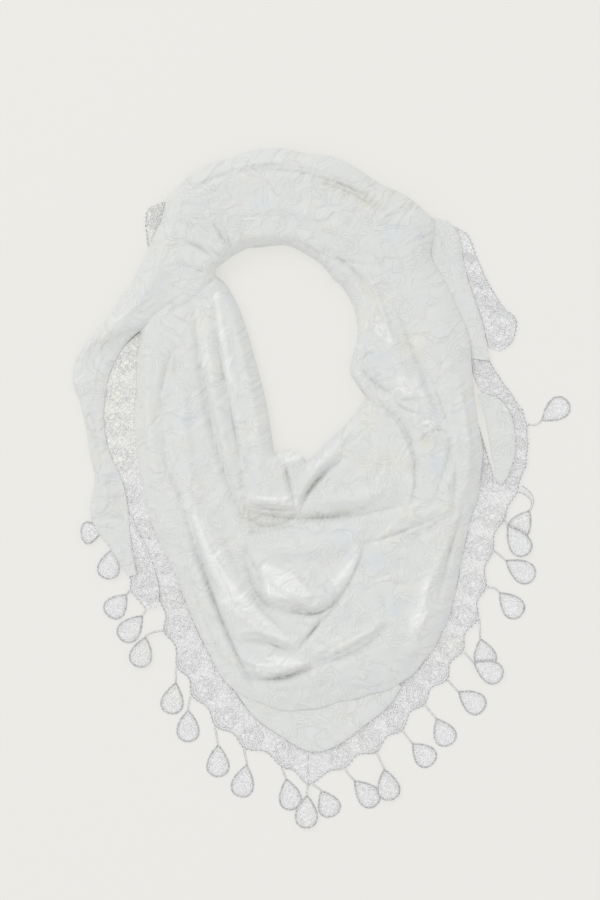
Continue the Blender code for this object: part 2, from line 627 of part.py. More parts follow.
def build_tails():
    wrap = table_stretch(TAIL, 0, WRAP_END, 12, 11)
    tail = table_stretch(TAIL, WRAP_END, len(TAIL) - 1, 11, 4)
    cloth_wall("left_wrap", wrap, ("row_first", "row_last"))
    cloth_wall("left_tail", tail, ("row_first",))
    layered_core("hidden_layers_wrap", wrap, (1, 3), (0.0, 0.0))
    cloth_wall("hem_layer", table_stretch(HEM_LAYER, 0, len(HEM_LAYER) - 1, 14, 3))
    cloth_wall("right_tail_upper", table_stretch(RIGHT_TAIL_UPPER, 0, len(RIGHT_TAIL_UPPER) - 1, 12, 3))
    cloth_wall("right_tail_lower", table_stretch(RIGHT_TAIL_LOWER, 0, len(RIGHT_TAIL_LOWER) - 1, 12, 3))


def build_edgings():
    edging("edging_front_left", FRONT_LEFT_EDGING, 3, 2)
    edging("edging_front_right", FRONT_RIGHT_EDGING, 3, 2)
    edging("edging_right_inner", RIGHT_INNER_EDGING, 2, 1)
    edging("edging_right_corner", RIGHT_CORNER_EDGING, 2, 2)
    edging("edging_right_tail", RIGHT_TAIL_EDGING, 2, 1)
    edging("edging_left_tail", LEFT_TAIL_EDGING, 2, 2)
    edging("edging_top_left", TOP_LEFT_EDGING, 2, 1)


def build_drops():
    for number, drop in enumerate(DROPS, start=1):
        lace_drop(f"drop_{number:02d}", drop)


def main():
    for old in list(bpy.data.objects):
        bpy.data.objects.remove(old, do_unlink=True)
    collection = bpy.data.collections.new(COLLECTION_NAME)
    bpy.context.scene.collection.children.link(collection)
    build_ring()
    build_tails()
    build_edgings()
    build_drops()


main()
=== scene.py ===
"""Lace waist scarf, laid flat in a loose neck ring: its visible cloth, lace edging and lace drops.

The tables hold plan millimetres, x to the right and y down from the top left corner of the layout board, as
the frame's own source does. Everything else is in metres, with Z up from the surface that the scarf lies on.
"""

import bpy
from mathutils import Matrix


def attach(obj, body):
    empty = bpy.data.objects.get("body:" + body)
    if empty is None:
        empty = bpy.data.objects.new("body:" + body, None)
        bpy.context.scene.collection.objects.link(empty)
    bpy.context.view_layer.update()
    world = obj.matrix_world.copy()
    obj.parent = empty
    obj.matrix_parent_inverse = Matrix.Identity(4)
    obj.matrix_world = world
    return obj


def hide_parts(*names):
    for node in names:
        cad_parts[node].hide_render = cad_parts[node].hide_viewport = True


bl_info = {
    "name": "Lace Waist Scarf",
    "version": (1, 0, 0),
    "blender": (4, 5, 0),
    "location": "3D View > Sidebar > Scarf",
    "description": "Builds the cloth, lace edging and drops of a lace waist scarf on its packed frame",
    "category": "Add Mesh",
}

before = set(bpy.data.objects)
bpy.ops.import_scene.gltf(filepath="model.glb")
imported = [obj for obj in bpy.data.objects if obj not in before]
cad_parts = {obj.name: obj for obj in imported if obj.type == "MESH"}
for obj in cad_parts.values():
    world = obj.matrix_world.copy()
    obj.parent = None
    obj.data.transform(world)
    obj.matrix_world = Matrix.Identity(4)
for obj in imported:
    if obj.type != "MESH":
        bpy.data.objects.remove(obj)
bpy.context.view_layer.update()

import math
from collections import namedtuple

import bmesh
import bpy
import numpy as np
from bpy.props import FloatProperty, FloatVectorProperty, PointerProperty
from mathutils import Matrix, Vector

MM = 0.001
BOARD_CENTRE = (321.6, 488.8)

# How the cloth's cross section rounds off to its two edges, in millimetres and shares of its width.
INNER_ROUND = 13.0
NARROWEST_INNER_SHARE = 1 / 3
OUTER_ROUND_SHARE = 0.62
WIDEST_OUTER_ROUND = 0.6
ROUND_POWER = 0.85
FOLDED_CROWN = 7.0
FOLDED_CROWN_FADE = 3.0
FOLD_FADE = 12.0

# A fold's form along and across its line, how dark the painted shade of its trough or bright the painted
# highlight of its crest is, and how much painted light and tint the patches give.
FOLD_STEPS = 18
FOLD_END_POWER = 0.6
TROUGH_POWER = 1.6
TROUGH_LINE = 2.4
TROUGH_LINE_POWER = 1.5
DARKEST_TROUGH = 4.0
BRIGHTEST_CREST = 3.0
CREST_TONE = 0.25
FOLD_TONE = 0.44
FOLD_TONE_LIMITS = (-1.3, 1)
PATCH_TONE = 0.68
PATCH_WARM = 0.6
PATCH_SOFTNESS = 1.3

# The cloth's small unevenness: waves over a plan that sways, each a height, its lengths and its start.
Sway = namedtuple("Sway", "reach length start")
Wave = namedtuple("Wave", "height x_length y_length start")
X_SWAY = Sway(9, 31, 1.3)
Y_SWAY = Sway(7, 27, 0.4)
WRINKLES = (Wave(0.28, 6.1, 17.0, 0.0), Wave(0.24, -23.0, 5.3, 2.0), Wave(0.18, 3.9, 3.9, 0.0))
EDGE_WAVES = (Wave(1.0, 14.0, 19.0, 0.0), Wave(0.6, 6.3, -8.1, 0.0))

# A folded edge turns under through these angles, its radius never more than this share of its height.
ROLL_ANGLES = (30, 60, 90, 120, 150)
ROLL_HEIGHT_SHARE = 0.42
ROLL_FLATNESS = 0.9
ROLL_DROP = 0.25
TUCKED_ROLL_SHARE = 0.5

STRAND_START = -0.35
FRONT_ROWS = (6, 18)
FRONT_ROLL_SHARE = 0.17
FRONT_ROLL_COLUMNS = 20
FRONT_DRAPE_COLUMNS = 97
PATTERN_TURN = 0.9
PATTERN_SHIFT = (0.013, 0.021)
PATTERN_SLIP = 0.6
ROW_CLOSENESS = 0.85
TABLE_SAMPLES = 60
SMALLEST_CUT_SHARE = 0.31
SHORTEST = 1e-12
WELD = 1e-6

Section = namedtuple("Section", "inner_x inner_y outer_x outer_y crown inner_rim outer_rim outer_round")

# The ring, from the pinch down the left strand, round the front drape, up the right strand and over the top.
RING = [
    Section(217, 277, 141, 331, 16.5, 9.0, 5.4, 40),
    Section(228, 287, 138, 350, 16.5, 7.5, 5.0, 44),
    Section(243, 318, 136, 380, 16.0, 7.0, 4.6, 48),
    Section(256, 362, 135, 420, 16.0, 7.0, 4.5, 50),
    Section(266, 400, 138, 462, 16.5, 7.0, 4.5, 52),
    Section(272, 435, 148, 512, 17.0, 6.5, 4.5, 56),
    Section(275, 453, 169, 559, 17.0, 6.5, 4.5, 60),
    Section(283, 451, 186, 601, 16.5, 6.0, 4.5, 68),
    Section(292, 450, 205, 646, 16.0, 6.0, 4.6, 78),
    Section(300, 454, 231, 685, 16.0, 6.0, 5.6, 96),
    Section(304, 458, 262, 704, 16.0, 6.0, 6.2, 108),
    Section(307, 461, 305, 709, 16.0, 6.0, 6.2, 110),
    Section(311, 458, 345, 701, 16.0, 6.0, 6.2, 100),
    Section(318, 451, 382, 690, 16.5, 6.0, 6.2, 90),
    Section(326, 443, 407, 677, 17.0, 6.0, 5.2, 80),
    Section(336, 433, 431, 650, 17.0, 6.5, 4.3, 68),
    Section(348, 422, 449, 612, 17.5, 6.5, 4.3, 62),
    Section(359, 407, 460, 565, 18.0, 7.0, 4.3, 56),
    Section(365, 397, 469, 527, 18.0, 7.0, 4.4, 54),
    Section(358, 386, 478, 495, 18.0, 7.0, 4.6, 50),
    Section(351, 376, 481, 460, 18.5, 7.0, 5.0, 54),
    Section(350, 366, 479, 425, 19.0, 7.0, 6.0, 56),
    Section(353, 354, 474, 391, 19.5, 7.0, 6.8, 56),
    Section(357, 340, 470, 355, 20.0, 7.0, 7.2, 56),
    Section(357, 323, 465, 328, 20.5, 7.0, 7.4, 56),
    Section(352, 305, 451, 292, 21.0, 7.0, 7.6, 54),
    Section(343, 289, 431, 257, 21.5, 7.0, 7.8, 50),
    Section(333, 279, 435, 223, 22.0, 7.5, 7.6, 56),
    Section(321, 265, 414, 203, 22.5, 8.0, 7.2, 56),
    Section(306, 255, 386, 187, 23.0, 8.0, 7.0, 52),
    Section(290, 247, 356, 168, 23.0, 8.0, 7.0, 52),
    Section(275, 246, 316, 154, 23.0, 8.0, 7.0, 52),
    Section(260, 248, 270, 150, 23.0, 8.0, 7.0, 50),
    Section(248, 249, 230, 158, 23.0, 8.5, 7.0, 46),
    Section(238, 254, 203, 167, 23.0, 9.0, 6.8, 42),
    Section(228, 260, 184, 181, 23.0, 10.0, 6.6, 38),
    Section(221, 266, 168, 197, 22.5, 11.5, 6.2, 36),
]

# The wrap over the pinch and the loose left tail that runs on from it, from the neck band's last section.
TAIL = [
    RING[-1],
    Section(217, 269, 160, 221, 22.0, 13.0, 6.0, 36),
    Section(216, 275, 149, 247, 20.5, 11.8, 5.6, 36),
    Section(212, 283, 138, 272, 19.5, 13.6, 5.0, 36),
    Section(203, 294, 124, 294, 18.5, 15.0, 5.0, 36),
    Section(188, 306, 108, 318, 17.0, 15.2, 5.0, 34),
    Section(168, 317, 92, 338, 15.0, 14.0, 5.0, 30),
    Section(147, 327, 78, 356, 10.0, 6.4, 4.0, 26),
    Section(127, 343, 73, 372, 7.4, 4.4, 3.0, 20),
    Section(113, 366, 74, 387, 6.5, 4.2, 2.4, 14),
    Section(106, 391, 80, 403, 6.0, 4.2, 2.2, 12),
    Section(104, 420, 86, 428, 5.8, 4.2, 2.2, 10),
    Section(109, 450, 90, 454, 5.8, 4.2, 2.2, 10),
    Section(122, 480, 95, 478, 5.8, 4.6, 2.2, 10),
    Section(127, 501, 91, 500, 5.8, 5.0, 2.2, 10),
    Section(129, 516, 91, 517, 5.6, 5.0, 2.6, 10),
    Section(130, 532, 98, 533, 5.4, 5.0, 2.6, 8),
    Section(132, 546, 109, 547, 5.2, 5.0, 2.6, 8),
    Section(135, 561, 119, 563, 4.6, 4.6, 2.8, 8),
    Section(137, 575, 128, 576, 4.4, 4.4, 3.0, 8),
]

# The single lower layer that shows below the front drape, from under the drape's last fold to its edging.
HEM_LAYER = [
    Section(232, 680, 237, 694, 5.2, 5.4, 4.0, 8),
    Section(250, 696, 254, 716, 5.2, 5.4, 4.0, 8),
    Section(274, 701, 280, 735, 5.2, 5.4, 4.0, 8),
    Section(302, 704, 309, 751, 5.2, 5.4, 4.2, 8),
    Section(328, 700, 335, 746, 5.2, 5.4, 4.2, 8),
    Section(352, 694, 362, 727, 5.2, 5.4, 4.2, 8),
    Section(376, 687, 388, 706, 5.2, 5.4, 4.2, 8),
    Section(396, 679, 401, 687, 5.2, 5.4, 4.2, 8),
]

# The right tail lies under the right strand in two turns, each with its own edging.
RIGHT_TAIL_UPPER = [
    Section(418, 214, 447, 222, 7.0, 7.0, 5.2, 10),
    Section(420, 226, 453, 227, 7.4, 7.4, 4.6, 12),
    Section(422, 243, 460, 240, 7.2, 7.2, 4.2, 14),
    Section(425, 262, 463, 260, 7.2, 7.2, 4.2, 14),
    Section(440, 284, 468, 281, 7.2, 7.2, 4.2, 12),
    Section(452, 304, 475, 301, 7.0, 7.0, 4.2, 10),
    Section(458, 324, 481, 319, 6.8, 6.8, 4.2, 10),
    Section(462, 340, 485, 336, 6.4, 6.4, 4.2, 10),
    Section(465, 351, 488, 350, 5.0, 5.2, 4.2, 6),
    Section(468, 358, 490, 361, 4.8, 5.0, 3.8, 6),
]
RIGHT_TAIL_LOWER = [
    Section(478, 394, 484, 393, 4.0, 3.8, 3.6, 6),
    Section(480, 403, 500, 400, 4.6, 4.2, 4.0, 6),
    Section(484, 418, 510, 414, 5.0, 4.8, 4.2, 6),
    Section(487, 432, 514, 430, 5.2, 5.0, 4.2, 6),
    Section(490, 450, 515, 451, 5.2, 5.0, 4.2, 6),
    Section(494, 468, 509, 473, 5.0, 4.8, 4.2, 6),
    Section(495, 480, 501, 486, 4.6, 4.2, 4.2, 6),
]

Edging = namedtuple("Edging", "inner_x inner_y outer_x outer_y scallop")

# Lace edging, a row for each scallop peak, from its sewn inner edge to its outer edge.
FRONT_LEFT_EDGING = [
    Edging(148, 323, 124, 340, 0),
    Edging(140, 360, 112, 364, 0),
    Edging(139, 392, 103, 394, 0),
    Edging(140, 425, 102, 424, 0),
    Edging(144, 460, 105, 458, 0),
    Edging(151, 495, 113, 492, 0),
    Edging(161, 530, 131, 527, 0),
    Edging(180, 564, 145, 562, 0),
    Edging(196, 596, 158, 598, 2),
    Edging(206, 620, 163, 631, 6),
    Edging(216, 649, 176, 667, 6),
    Edging(234, 678, 191, 696, 6),
    Edging(250, 697, 215, 727, 6),
    Edging(266, 714, 244, 749, 6),
    Edging(289, 732, 282, 768, 6),
    Edging(308.3, 749, 308.3, 786, 0),
]
FRONT_RIGHT_EDGING = [
    Edging(476, 485, 520, 489, 0),
    Edging(469, 511, 506, 519, 4),
    Edging(459, 544, 494, 551, 4),
    Edging(452, 579, 487, 587, 5),
    Edging(442, 610, 479, 619, 6),
    Edging(428, 637, 464, 651, 6),
    Edging(414, 659, 448, 680, 6),
    Edging(398, 673, 425, 705, 6),
    Edging(384, 699, 403, 731, 6),
    Edging(361, 723, 377, 753, 6),
    Edging(335, 742, 345, 769, 6),
    Edging(308, 749, 308, 786, 0),
]
RIGHT_INNER_EDGING = [
    Edging(464, 388, 471, 389, 0),
    Edging(467, 411, 475, 411, 0),
    Edging(471, 432, 481, 431, 0),
    Edging(473, 451, 487, 452, 0),
    Edging(474, 466, 491, 466, 0),
    Edging(475, 480, 494, 478, 0),
    Edging(476, 491, 493, 492, 0),
]
RIGHT_CORNER_EDGING = [
    Edging(446, 224, 456, 227, 0),
    Edging(457, 237, 469, 236, 0),
    Edging(461, 257, 478, 258, 0),
    Edging(466, 279, 489, 283, 0),
    Edging(473, 300, 504, 307, 0),
    Edging(479, 319, 517, 320, 0),
    Edging(483, 335, 513, 342, 0),
    Edging(487, 347, 500, 352, 0),
]
RIGHT_TAIL_EDGING = [
    Edging(465, 352, 487, 354, 0),
    Edging(471, 371, 496, 371, 0),
    Edging(479, 390, 511, 392, 1),
    Edging(494, 402, 523, 410, 1),
    Edging(507, 419, 528, 426, 1),
    Edging(511, 440, 529, 445, 1),
    Edging(508, 462, 527, 466, 1),
    Edging(497, 478, 521, 481, 1),
    Edging(490, 490, 519, 492, 0),
]
LEFT_TAIL_EDGING = [
    Edging(132, 514, 91, 517.4, 0),
    Edging(138, 530, 98, 532, 1),
    Edging(146, 545, 109, 547, 2),
    Edging(152, 560, 122, 564, 1),
    Edging(157, 576, 129, 577, 1),
    Edging(160, 592, 130, 591, 1),
    Edging(157, 607, 146, 610, 0),
]
TOP_LEFT_EDGING = [
    Edging(169, 203, 163, 202, 0),
    Edging(166, 212, 148, 209, 0),
    Edging(164, 224, 145, 222, 0),
    Edging(158, 237, 146, 237, 0),
    Edging(152, 246, 147, 247, 0),
]

Fold = namedtuple("Fold", "x1 y1 x2 y2 x3 y3 left right rise")

# The largest folds, each along a curve through three points, with how far it reaches to the left and to the
# right of that way, and how high it stands. A trough has a negative rise.
FOLDS = [
    Fold(228, 296, 250, 385, 262, 470, 8, 9, 4.0),
    Fold(214, 292, 226, 390, 250, 480, 6, 6, -4.5),
    Fold(206, 330, 222, 430, 246, 512, 8, 9, 3.5),
    Fold(195, 308, 211, 425, 246, 525, 6, 7, -5.5),
    Fold(188, 365, 185, 440, 204, 510, 11, 12, 4.5),
    Fold(178, 345, 161, 405, 174, 470, 7, 7, -4.0),
    Fold(150, 350, 149, 425, 166, 515, 9, 9, 3.5),
    Fold(174, 468, 211, 592, 256, 690, 9, 6, -6.0),
    Fold(188, 500, 232, 588, 290, 640, 13, 15, 7.0),
    Fold(222, 532, 254, 597, 302, 645, 10, 5, -4.0),
    Fold(240, 492, 270, 499, 300, 495, 8, 6, 4.5),
    Fold(243, 508, 315, 519, 408, 503, 12, 8, -7.0),
    Fold(306, 498, 350, 500, 396, 488, 12, 8, 3.5),
    Fold(262, 548, 312, 548, 370, 532, 14, 14, 4.0),
    Fold(245, 548, 262, 600, 302, 613, 9, 7, -7.0),
    Fold(298, 613, 326, 609, 344, 584, 9, 7, -7.0),
    Fold(266, 568, 285, 588, 312, 600, 14, 7, 6.0),
    Fold(328, 592, 346, 568, 360, 546, 8, 7, 4.5),
    Fold(298, 648, 318, 624, 342, 600, 6, 8, -4.0),
    Fold(238, 643, 265, 643, 298, 653, 6, 7, -4.0),
    Fold(238, 654, 266, 664, 312, 660, 9, 6, 6.0),
    Fold(240, 676, 276, 678, 322, 664, 8, 8, -6.0),
    Fold(316, 664, 352, 652, 388, 626, 6, 8, -5.5),
    Fold(312, 654, 350, 641, 386, 618, 8, 6, 3.5),
    Fold(438, 556, 424, 598, 414, 642, 9, 9, 5.5),
    Fold(458, 520, 447, 558, 437, 604, 6, 6, -4.0),
    Fold(360, 544, 402, 531, 455, 508, 6, 8, -4.0),
    Fold(372, 300, 400, 370, 420, 440, 12, 12, 4.0),
    Fold(392, 300, 416, 362, 442, 430, 8, 8, -4.0),
    Fold(352, 354, 378, 386, 414, 402, 7, 7, -4.5),
    Fold(370, 402, 408, 436, 412, 505, 8, 8, -4.0),
    Fold(455, 376, 468, 440, 462, 505, 8, 8, 3.5),
    Fold(448, 436, 454, 480, 450, 522, 6, 7, -3.5),
    Fold(188, 194, 285, 172, 402, 216, 5, 7, -3.0),
    Fold(312, 182, 352, 196, 394, 224, 5, 6, -3.5),
    Fold(245, 210, 312, 216, 382, 262, 14, 14, 3.5),
    Fold(318, 250, 352, 270, 374, 306, 7, 7, -4.0),
    Fold(231, 250, 222, 238, 214, 224, 5, 5, -4.0),
    Fold(216, 262, 200, 249, 184, 243, 5, 5, -4.0),
    Fold(212, 277, 196, 270, 178, 266, 5, 6, -3.5),
    Fold(180, 252, 140, 300, 96, 352, 12, 12, 2.5),
    Fold(300, 516, 314, 484, 346, 456, 7, 6, -7.0),
    Fold(304, 490, 318, 464, 344, 438, 8, 8, 4.5),
    Fold(283, 456, 290, 486, 296, 512, 6, 6, -5.5),
]

Drop = namedtuple("Drop", "edging row bend_x bend_y tip_x tip_y end_x end_y stem over")

# The drops along the edging, anticlockwise from the left tail: the edging row that the stem leaves, where
# it bends, the drop's tip and round end, the stem's width, and 1 where it lies over its neighbour.
DROPS = [
    Drop(LEFT_TAIL_EDGING, 1, 104, 532, 102, 532, 81, 533, 3.0, 1),
    Drop(LEFT_TAIL_EDGING, 2, 112, 548, 112, 549, 107, 579, 3.0, 1),
    Drop(LEFT_TAIL_EDGING, 5, 128, 593, 127, 594, 108, 616, 3.0, 0),
    Drop(LEFT_TAIL_EDGING, 6, 145, 612, 143, 615, 121, 640, 1.8, 0),
    Drop(FRONT_LEFT_EDGING, 9, 152, 631, 146, 636, 138, 667, 1.8, 1),
    Drop(FRONT_LEFT_EDGING, 10, 176, 676, 176, 682, 170, 714, 1.8, 0),
    Drop(FRONT_LEFT_EDGING, 11, 189, 703, 188, 709, 188, 742, 1.8, 0),
    Drop(FRONT_LEFT_EDGING, 12, 217, 737, 218, 744, 218, 777, 1.8, 0),
    Drop(FRONT_LEFT_EDGING, 13, 246, 758, 247, 764, 240, 797, 1.8, 0),
    Drop(FRONT_LEFT_EDGING, 14, 284, 774, 286, 778, 293, 810, 1.8, 0),
    Drop(FRONT_LEFT_EDGING, 15, 307, 791, 307, 794, 306, 828, 1.8, 1),
    Drop(FRONT_RIGHT_EDGING, 10.88, 317, 787, 321, 790, 334, 816, 1.8, 0),
    Drop(FRONT_RIGHT_EDGING, 10, 350, 776, 354, 780, 377, 805, 1.8, 0),
    Drop(FRONT_RIGHT_EDGING, 9, 381, 762, 384, 768, 391, 800, 1.8, 1),
    Drop(FRONT_RIGHT_EDGING, 8, 408, 738, 412, 743, 433, 764, 1.8, 0),
    Drop(FRONT_RIGHT_EDGING, 7, 431, 713, 436, 718, 450, 745, 1.8, 0),
    Drop(FRONT_RIGHT_EDGING, 6, 453, 687, 458, 691, 484, 710, 1.8, 0),
    Drop(FRONT_RIGHT_EDGING, 5, 469, 657, 473, 662, 502, 678, 1.8, 1),
    Drop(FRONT_RIGHT_EDGING, 4, 480, 630, 480, 638, 488, 668, 1.8, 0),
    Drop(FRONT_RIGHT_EDGING, 3, 495, 587, 499, 592, 521, 616, 1.8, 0),
    Drop(FRONT_RIGHT_EDGING, 2, 501, 556, 505, 560, 534, 579, 1.8, 0),
    Drop(FRONT_RIGHT_EDGING, 1, 506, 523, 507, 525, 527, 555, 1.8, 1),
    Drop(FRONT_RIGHT_EDGING, 0, 538, 497, 530, 510, 513, 537, 8.0, 0),
    Drop(RIGHT_TAIL_EDGING, 3.9, 535, 427, 541, 421, 568, 401, 1.8, 0),
]


# Finer creases than the frame's solids hold: ledges with one steep side, narrow troughs and short puckers.
CREASES = [
    # left strand
    Fold(210, 296, 220, 340, 229, 400, 9, 3, 2.2),
    Fold(217, 290, 227, 345, 240, 400, 3, 7, 1.6),
    Fold(205, 384, 222, 450, 247, 532, 3, 3, -2.4),
    Fold(229, 398, 238, 448, 245, 504, 3, 3, -2.2),
    Fold(180, 352, 164, 392, 163, 440, 5, 3, 2.4),
    Fold(174, 372, 184, 386, 190, 404, 3, 3, -1.2),
    Fold(180, 366, 192, 384, 198, 404, 3, 3, 1.1),
    Fold(186, 358, 202, 372, 206, 392, 3, 4, -1.4),
    Fold(163, 446, 172, 478, 187, 506, 3, 3, -2.6),
    Fold(168, 440, 178, 470, 200, 500, 7, 3, 2.0),
    Fold(212, 430, 206, 446, 214, 462, 3, 3, -1.1),
    Fold(232, 424, 246, 420, 258, 428, 3, 3, 1.0),
    Fold(234, 444, 248, 450, 260, 446, 3, 3, -1.0),
    # the long crease and the bright band right of it
    Fold(194, 508, 210, 586, 256, 692, 2.5, 4, -2.6),
    Fold(198, 514, 232, 580, 297, 641, 2.5, 10, 2.6),
    Fold(178, 545, 204, 616, 234, 684, 4, 4, -2.2),
    Fold(206, 560, 216, 584, 236, 606, 4, 4, -1.2),
    Fold(214, 596, 238, 616, 262, 630, 5, 5, 1.2),
    # the pocket below the opening and the shadow line that runs from it
    Fold(246, 500, 270, 504, 297, 505, 12, 2.5, 2.8),
    Fold(244, 506, 272, 509, 300, 510, 2.5, 3, -2.8),
    Fold(248, 515, 266, 526, 294, 517, 5, 14, -3.0),
    Fold(296, 516, 330, 516, 372, 506, 2.5, 5, -2.6),
    Fold(300, 524, 330, 524, 368, 516, 4, 9, 1.6),
    Fold(297, 509, 314, 484, 341, 459, 4, 2.5, -2.2),
    Fold(300, 496, 312, 476, 336, 452, 3, 6, 2.0),
    Fold(326, 441, 338, 436, 350, 424, 4, 4, -1.6),
    # bowls of the drape
    Fold(241, 544, 254, 564, 267, 598, 3, 3, -2.4),
    Fold(232, 556, 246, 584, 268, 612, 5, 5, 1.6),
    Fold(264, 566, 286, 570, 309, 590, 3, 10, 2.2),
    Fold(264, 592, 286, 599, 312, 604, 15, 3, 3.4),
    Fold(266, 600, 298, 613, 326, 609, 3, 4, -3.0),
    Fold(334, 596, 348, 574, 361, 548, 9, 3, 3.0),
    Fold(328, 608, 344, 590, 362, 550, 2.5, 3, -2.4),
    Fold(306, 566, 316, 580, 318, 596, 4, 4, -1.4),
    Fold(318, 556, 328, 566, 330, 588, 5, 4, 1.3),
    Fold(274, 556, 300, 556, 330, 546, 4, 4, -1.0),
    Fold(296, 652, 310, 634, 324, 614, 2.5, 3, -2.4),
    Fold(236, 636, 262, 632, 298, 651, 6, 2.5, 2.8),
    Fold(240, 641, 264, 641, 297, 656, 2.5, 4, -2.2),
    Fold(250, 668, 278, 672, 308, 663, 12, 2.5, 3.0),
    Fold(252, 675, 280, 677, 306, 666, 2.5, 4, -3.0),
    Fold(306, 664, 340, 651, 386, 625, 2.5, 4, -2.4),
    Fold(312, 656, 346, 636, 388, 618, 6, 3, 2.2),
    Fold(340, 664, 362, 651, 386, 640, 4, 4, -2.2),
    Fold(258, 684, 290, 690, 330, 682, 4, 5, -1.3),
    Fold(346, 690, 380, 684, 408, 674, 4, 4, -1.4),
    Fold(300, 618, 316, 622, 322, 634, 5, 5, 1.2),
    # right half of the drape
    Fold(368, 545, 394, 524, 416, 502, 3, 12, 2.0),
    Fold(392, 541, 424, 530, 461, 506, 2.5, 3, -2.2),
    Fold(436, 566, 428, 594, 412, 640, 2.5, 3, -1.2),
    Fold(430, 566, 418, 600, 408, 640, 9, 9, 1.5),
    Fold(464, 490, 456, 530, 434, 576, 3, 3, -1.5),
    Fold(458, 520, 446, 552, 432, 580, 3, 7, 2.0),
    Fold(384, 568, 392, 580, 408, 584, 4, 4, -1.2),
    Fold(372, 590, 384, 602, 386, 622, 4, 4, -1.1),
    Fold(430, 616, 442, 612, 452, 616, 3, 3, -1.3),
    Fold(400, 652, 414, 656, 432, 652, 4, 4, -1.2),
    Fold(352, 600, 356, 616, 350, 628, 4, 4, 1.0),
    # right strand
    Fold(371, 280, 382, 310, 392, 342, 3, 7, 2.0),
    Fold(368, 278, 378, 312, 389, 344, 2.5, 2.5, -1.8),
    Fold(356, 340, 374, 328, 392, 346, 5, 4, 1.8),
    Fold(360, 368, 366, 356, 378, 352, 3, 4, -1.8),
    Fold(394, 397, 404, 409, 424, 414, 2.5, 3, -2.4),
    Fold(388, 392, 402, 397, 418, 391, 4, 4, 2.0),
    Fold(396, 382, 404, 396, 410, 410, 3, 3, 1.6),
    Fold(398, 374, 410, 384, 416, 394, 5, 5, 1.6),
    Fold(428, 374, 440, 404, 450, 434, 2.5, 4, -2.6),
    Fold(414, 372, 424, 396, 436, 420, 5, 5, 1.6),
    Fold(420, 442, 432, 430, 450, 436, 3, 3, -2.6),
    Fold(418, 432, 428, 424, 440, 430, 6, 3, 2.4),
    Fold(450, 438, 446, 462, 432, 500, 3, 4, -2.4),
    Fold(456, 436, 454, 466, 442, 500, 3, 4, 1.6),
    Fold(366, 398, 398, 428, 412, 470, 2.5, 8, 2.0),
    Fold(413, 466, 411, 490, 404, 508, 3, 5, 1.6),
    Fold(420, 456, 414, 474, 420, 494, 4, 4, -1.4),
    Fold(384, 440, 390, 462, 386, 486, 5, 5, -1.2),
    Fold(372, 430, 376, 456, 370, 480, 5, 5, 1.2),
    Fold(462, 390, 470, 430, 474, 470, 4, 3, -1.6),
    Fold(402, 316, 424, 322, 440, 330, 4, 4, -1.2),
    Fold(440, 320, 452, 330, 462, 350, 4, 3, -1.8),
    Fold(410, 340, 420, 360, 418, 380, 5, 5, 1.2),
    Fold(437, 346, 440, 366, 436, 384, 4, 4, -1.4),
    # neck band and pinch
    Fold(192, 192, 288, 168, 400, 212, 3, 3, -1.8),
    Fold(238, 171, 300, 160, 352, 176, 3, 6, 2.2),
    Fold(316, 178, 362, 196, 392, 222, 2.5, 3, -2.0),
    Fold(300, 237, 328, 258, 386, 267, 3, 4, -1.8),
    Fold(236, 242, 262, 247, 286, 241, 3, 3, -1.8),
    Fold(221, 226, 230, 244, 233, 258, 2.5, 3, -2.6),
    Fold(209, 249, 218, 256, 224, 258, 3, 3, -2.4),
    Fold(200, 285, 211, 283, 219, 275, 3, 3, -2.2),
    Fold(196, 246, 190, 262, 200, 276, 5, 5, 1.6),
    Fold(204, 214, 214, 230, 224, 252, 5, 3, 1.8),
    Fold(236, 226, 240, 238, 236, 248, 4, 4, 1.6),
    Fold(180, 222, 198, 232, 214, 246, 4, 4, -1.4),
    Fold(252, 196, 286, 204, 320, 198, 7, 7, -1.2),
    Fold(330, 216, 356, 232, 372, 256, 6, 6, -1.4),
    Fold(386, 240, 400, 262, 408, 290, 5, 5, -1.4),
    Fold(408, 222, 424, 240, 432, 266, 4, 4, -1.6),
    Fold(172, 212, 186, 206, 206, 208, 4, 4, -1.4),
    # wrap and left tail
    Fold(190, 292, 160, 312, 140, 330, 3, 4, -1.8),
    Fold(150, 262, 138, 286, 118, 312, 5, 5, -1.6),
    Fold(176, 232, 160, 262, 150, 290, 6, 6, 1.3),
    Fold(112, 322, 96, 344, 86, 368, 5, 5, -1.6),
    Fold(92, 344, 84, 360, 80, 380, 3, 3, -1.4),
    Fold(104, 352, 96, 372, 94, 396, 4, 4, 1.4),
    Fold(92, 410, 98, 440, 102, 470, 4, 4, -1.3),
    Fold(98, 470, 106, 490, 104, 512, 4, 4, 1.4),
    Fold(100, 521, 116, 518, 130, 522, 3, 3, -1.6),
    Fold(112, 536, 120, 548, 124, 562, 4, 4, 1.0),
]
Patch = namedtuple("Patch", "x1 y1 x2 y2 x3 y3 x4 y4 soft tone warm")
